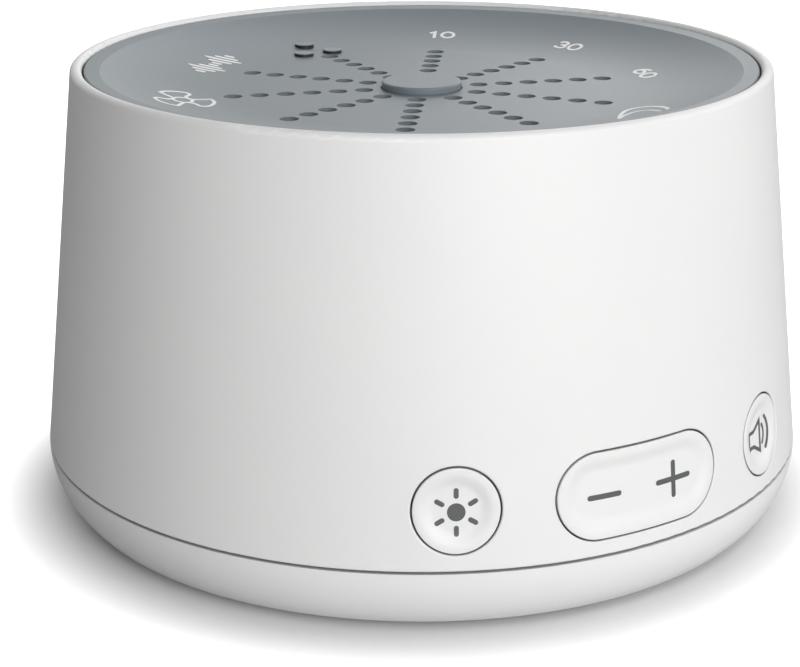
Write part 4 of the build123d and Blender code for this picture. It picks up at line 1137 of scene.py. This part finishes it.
# %% [markdown]
# ## The voice coil
# Behind the grille, the loudspeaker's cone is driven by a coil: thin enamelled copper wire wound
# in one layer on a paper tube. A spiral curve in Geometry Nodes follows the wire turn by turn,
# and a thin tube under it is the former. Drawn as wire, the coil catches the light in fine lines,
# which a plain tube can't do.

# %% Tree that winds a wire


def winding(material):
    """A tree that winds a wire onto the tube that it gets."""
    tree, given = new_tree("wound_wire", {"Turns": "NodeSocketFloat", "Radius": "NodeSocketFloat",
                                          "Length": "NodeSocketFloat", "Wire": "NodeSocketFloat",
                                          "Foot": "NodeSocketFloat"})
    spiral = add(tree, "GeometryNodeCurveSpiral", {
        "Resolution": 36, "Rotations": given["Turns"], "Start Radius": given["Radius"],
        "End Radius": given["Radius"], "Height": given["Length"]})
    section = add(tree, "GeometryNodeCurvePrimitiveCircle", {"Resolution": 6,
                                                             "Radius": given["Wire"]})
    round_wire = add(tree, "GeometryNodeCurveToMesh", {"Curve": spiral.outputs[0],
                                                       "Profile Curve": section.outputs[0],
                                                       "Fill Caps": True})
    foot = add(tree, "ShaderNodeCombineXYZ", {2: given["Foot"]})
    raised = add(tree, "GeometryNodeTransform", {"Geometry": round_wire.outputs[0],
                                                 "Translation": foot.outputs[0]})
    both = add(tree, "GeometryNodeJoinGeometry", {0: given["Geometry"]})
    tree.links.new(raised.outputs[0], both.inputs[0])
    close_tree(tree, both.outputs[0], material)
    return tree


copper_winding = winding(finishes["copper_coil"])
print("tree:", copper_winding.name)

# %% [markdown]
# ## The coil on its tube
# The sizes of the coil come from the box of the CAD coil that it replaces, so the two agree when
# the loudspeaker is changed. As many turns are wound as fit between the ends of the tube.

# %% Wind the coil
low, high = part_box("speaker_voice_coil")
coil_radius = (high[0] - low[0]) / 2
coil_height = high[2] - low[2]
wire = 0.125 * mm
# the wire is drawn a little thinner than its pitch, so that its turns stay apart
enamel_gap = 0.96
former_wall = 0.12 * mm
former_sides = 48


def former(radius, wall, foot, height):
    """A closed thin paper tube."""
    shape = bmesh.new()
    corners = ((radius, foot), (radius, foot + height), (radius - wall, foot + height),
               (radius - wall, foot))
    angles = [2 * math.pi * i / former_sides for i in range(former_sides)]
    loops = [[shape.verts.new((r * math.cos(a), r * math.sin(a), z)) for a in angles]
             for r, z in corners]
    for k in range(4):
        a, b = loops[k], loops[(k + 1) % 4]
        for i in range(former_sides):
            j = (i + 1) % former_sides
            shape.faces.new((a[i], a[j], b[j], b[i]))
    bmesh.ops.recalc_face_normals(shape, faces=shape.faces)
    return finished(shape, "voice_coil_winding")


wire_radius = coil_radius - wire
turns = math.floor((coil_height - 4 * wire) / (2 * wire))
coil = grown(former(coil_radius - 2 * wire, former_wall, low[2], coil_height), copper_winding,
             {"Turns": float(turns), "Radius": wire_radius, "Length": turns * 2 * wire,
              "Wire": wire * enamel_gap, "Foot": low[2] + (coil_height - turns * 2 * wire) / 2})
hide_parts("speaker_voice_coil")
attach(coil, "speaker_cone")
print("voice coil:", turns, "turns,", len(coil.data.polygons), "faces")

# %% [markdown]
# ## The studio
# The photo is a product picture on white. Soft lights stand in front, a little to the left and to
# the right, a wide one hangs over the object, and two behind it draw the bright rim. The floor is
# white but for a soft shadow where the foot meets it. The white of the floor and of the backdrop
# is only seen by the camera, so that it adds hardly any light to the object.

# %% Floor and backdrop
# the soft shadow round the foot is partly cast by the lamps and partly painted by the floor's glow
fibre_size = 3
# distances from the middle at which the painted shadow round the foot starts to lift, and beyond
# which the floor is fully white
painted_shadow_start, painted_shadow_end = 51, 70
white = (1, 1, 1, 1)


def white_floor():
    """White paper that glows to full white for the camera, with a painted shadow near the foot."""
    material, tree, shader, coordinates = start_material("studio_floor_paper")
    fibres = add(tree, "ShaderNodeTexNoise", {"Vector": coordinates, "Detail": 3.0,
                                              "Scale": 1 / (fibre_size * mm)})
    paper = add(tree, "ShaderNodeMix", {0: fibres.outputs[0], 6: linear("#EDEDED"),
                                        7: linear("#F1F1F1")}, data_type="RGBA")
    seen = add(tree, "ShaderNodeLightPath").outputs["Is Camera Ray"]
    # the camera sees white paper, but the paper throws less light back at the object
    bounce = add(tree, "ShaderNodeMix", {0: seen, 6: linear("#BCBCBC"), 7: paper.outputs[2]},
                 data_type="RGBA")
    # the glow that only the camera sees fades out towards the foot, which paints a soft shadow
    # there
    away = add(tree, "ShaderNodeVectorMath", {0: coordinates}, operation="LENGTH")
    level = add(tree, "ShaderNodeMapRange", {0: away.outputs["Value"], 1: painted_shadow_start * mm,
                                             2: painted_shadow_end * mm, 3: 0.0, 4: 1.0},
                interpolation_type="SMOOTHSTEP")
    glow = add(tree, "ShaderNodeMath", {0: seen, 1: level.outputs[0]}, operation="MULTIPLY")
    fill(tree, shader, {"Base Color": bounce.outputs[2], "Roughness": 0.9,
                        "Specular IOR Level": 0.0, "Emission Color": white,
                        "Emission Strength": glow.outputs[0]})
    return material


bpy.ops.mesh.primitive_plane_add(size=6.0, location=(0, 0, 0))
floor = bpy.context.object
floor.name = "studio_floor"
floor.data.materials.append(white_floor())

world = bpy.data.worlds.new("studio")
bpy.context.scene.world = world
world.use_nodes = True
sky = world.node_tree
background = next(n for n in sky.nodes if n.type == "BACKGROUND")
path = add(sky, "ShaderNodeLightPath")
level = add(sky, "ShaderNodeMapRange", {0: path.outputs["Is Camera Ray"], 3: 0.01, 4: 1.0})
fill(sky, background, {"Color": white, "Strength": level.outputs[0]})
print("floor and backdrop staged")

# %% [markdown]
# ## Soft lamps
# A softbox is a lamp behind a large white cloth. Its highlights are wide with soft edges, and an
# area lamp gives the same. All of them point at the middle of the object.

# %% Lamps
lamp_target = Vector((0, 0, 0.03))


def softbox(name, place, width, height, power):
    """A rectangular lamp aimed at the object, all in metres and watts."""
    lamp = bpy.data.lights.new(name, "AREA")
    lamp.shape = "RECTANGLE"
    lamp.size = width
    lamp.size_y = height
    lamp.energy = power
    obj = bpy.data.objects.new(name, lamp)
    obj.location = place
    obj.rotation_euler = (lamp_target - Vector(place)).to_track_quat("-Z", "Y").to_euler()
    bpy.context.scene.collection.objects.link(obj)


softbox("front_left_softbox", (-0.45, -0.87, 0.35), 0.9, 0.7, 3.5)
softbox("front_softbox", (-0.02, -0.97, 0.33), 0.9, 0.7, 5.7)
softbox("right_softbox", (0.90, -0.30, 0.40), 0.9, 0.7, 2.7)
softbox("rim_softbox", (0.85, 0.55, 0.55), 0.9, 0.7, 3.6)
softbox("over_softbox", (0.0, 0.1, 1.1), 1.6, 1.6, 3.7)
softbox("back_softbox", (0.2, 1.0, 0.42), 1.2, 0.7, 3.0)

# %% [markdown]
# ## The camera
# The camera's place and lens were worked out from the rim, the seam and the rows of holes in the
# photo: it looks down by about 20 degrees and stands 31 degrees to the left of the volume key.

# %% Camera
look_down = 19.67
lens = bpy.data.cameras.new("photo_camera")
lens.lens = 87.44
lens.sensor_width = 36.0
lens.shift_x = -0.0270
lens.shift_y = 0.0328
lens.clip_start = 0.01
lens.clip_end = 20.0
camera = bpy.data.objects.new("photo_camera", lens)
camera.location = (-0.1422, -0.2324, 0.11535)
camera.rotation_euler = (math.radians(90 - look_down), 0, heading)
bpy.context.scene.collection.objects.link(camera)
bpy.context.scene.camera = camera
bpy.context.scene.view_settings.view_transform = "Standard"
print("camera at", tuple(round(c, 4) for c in camera.location))

# %% [markdown]
# ## Finish

# %% Finish
print("scene set up")
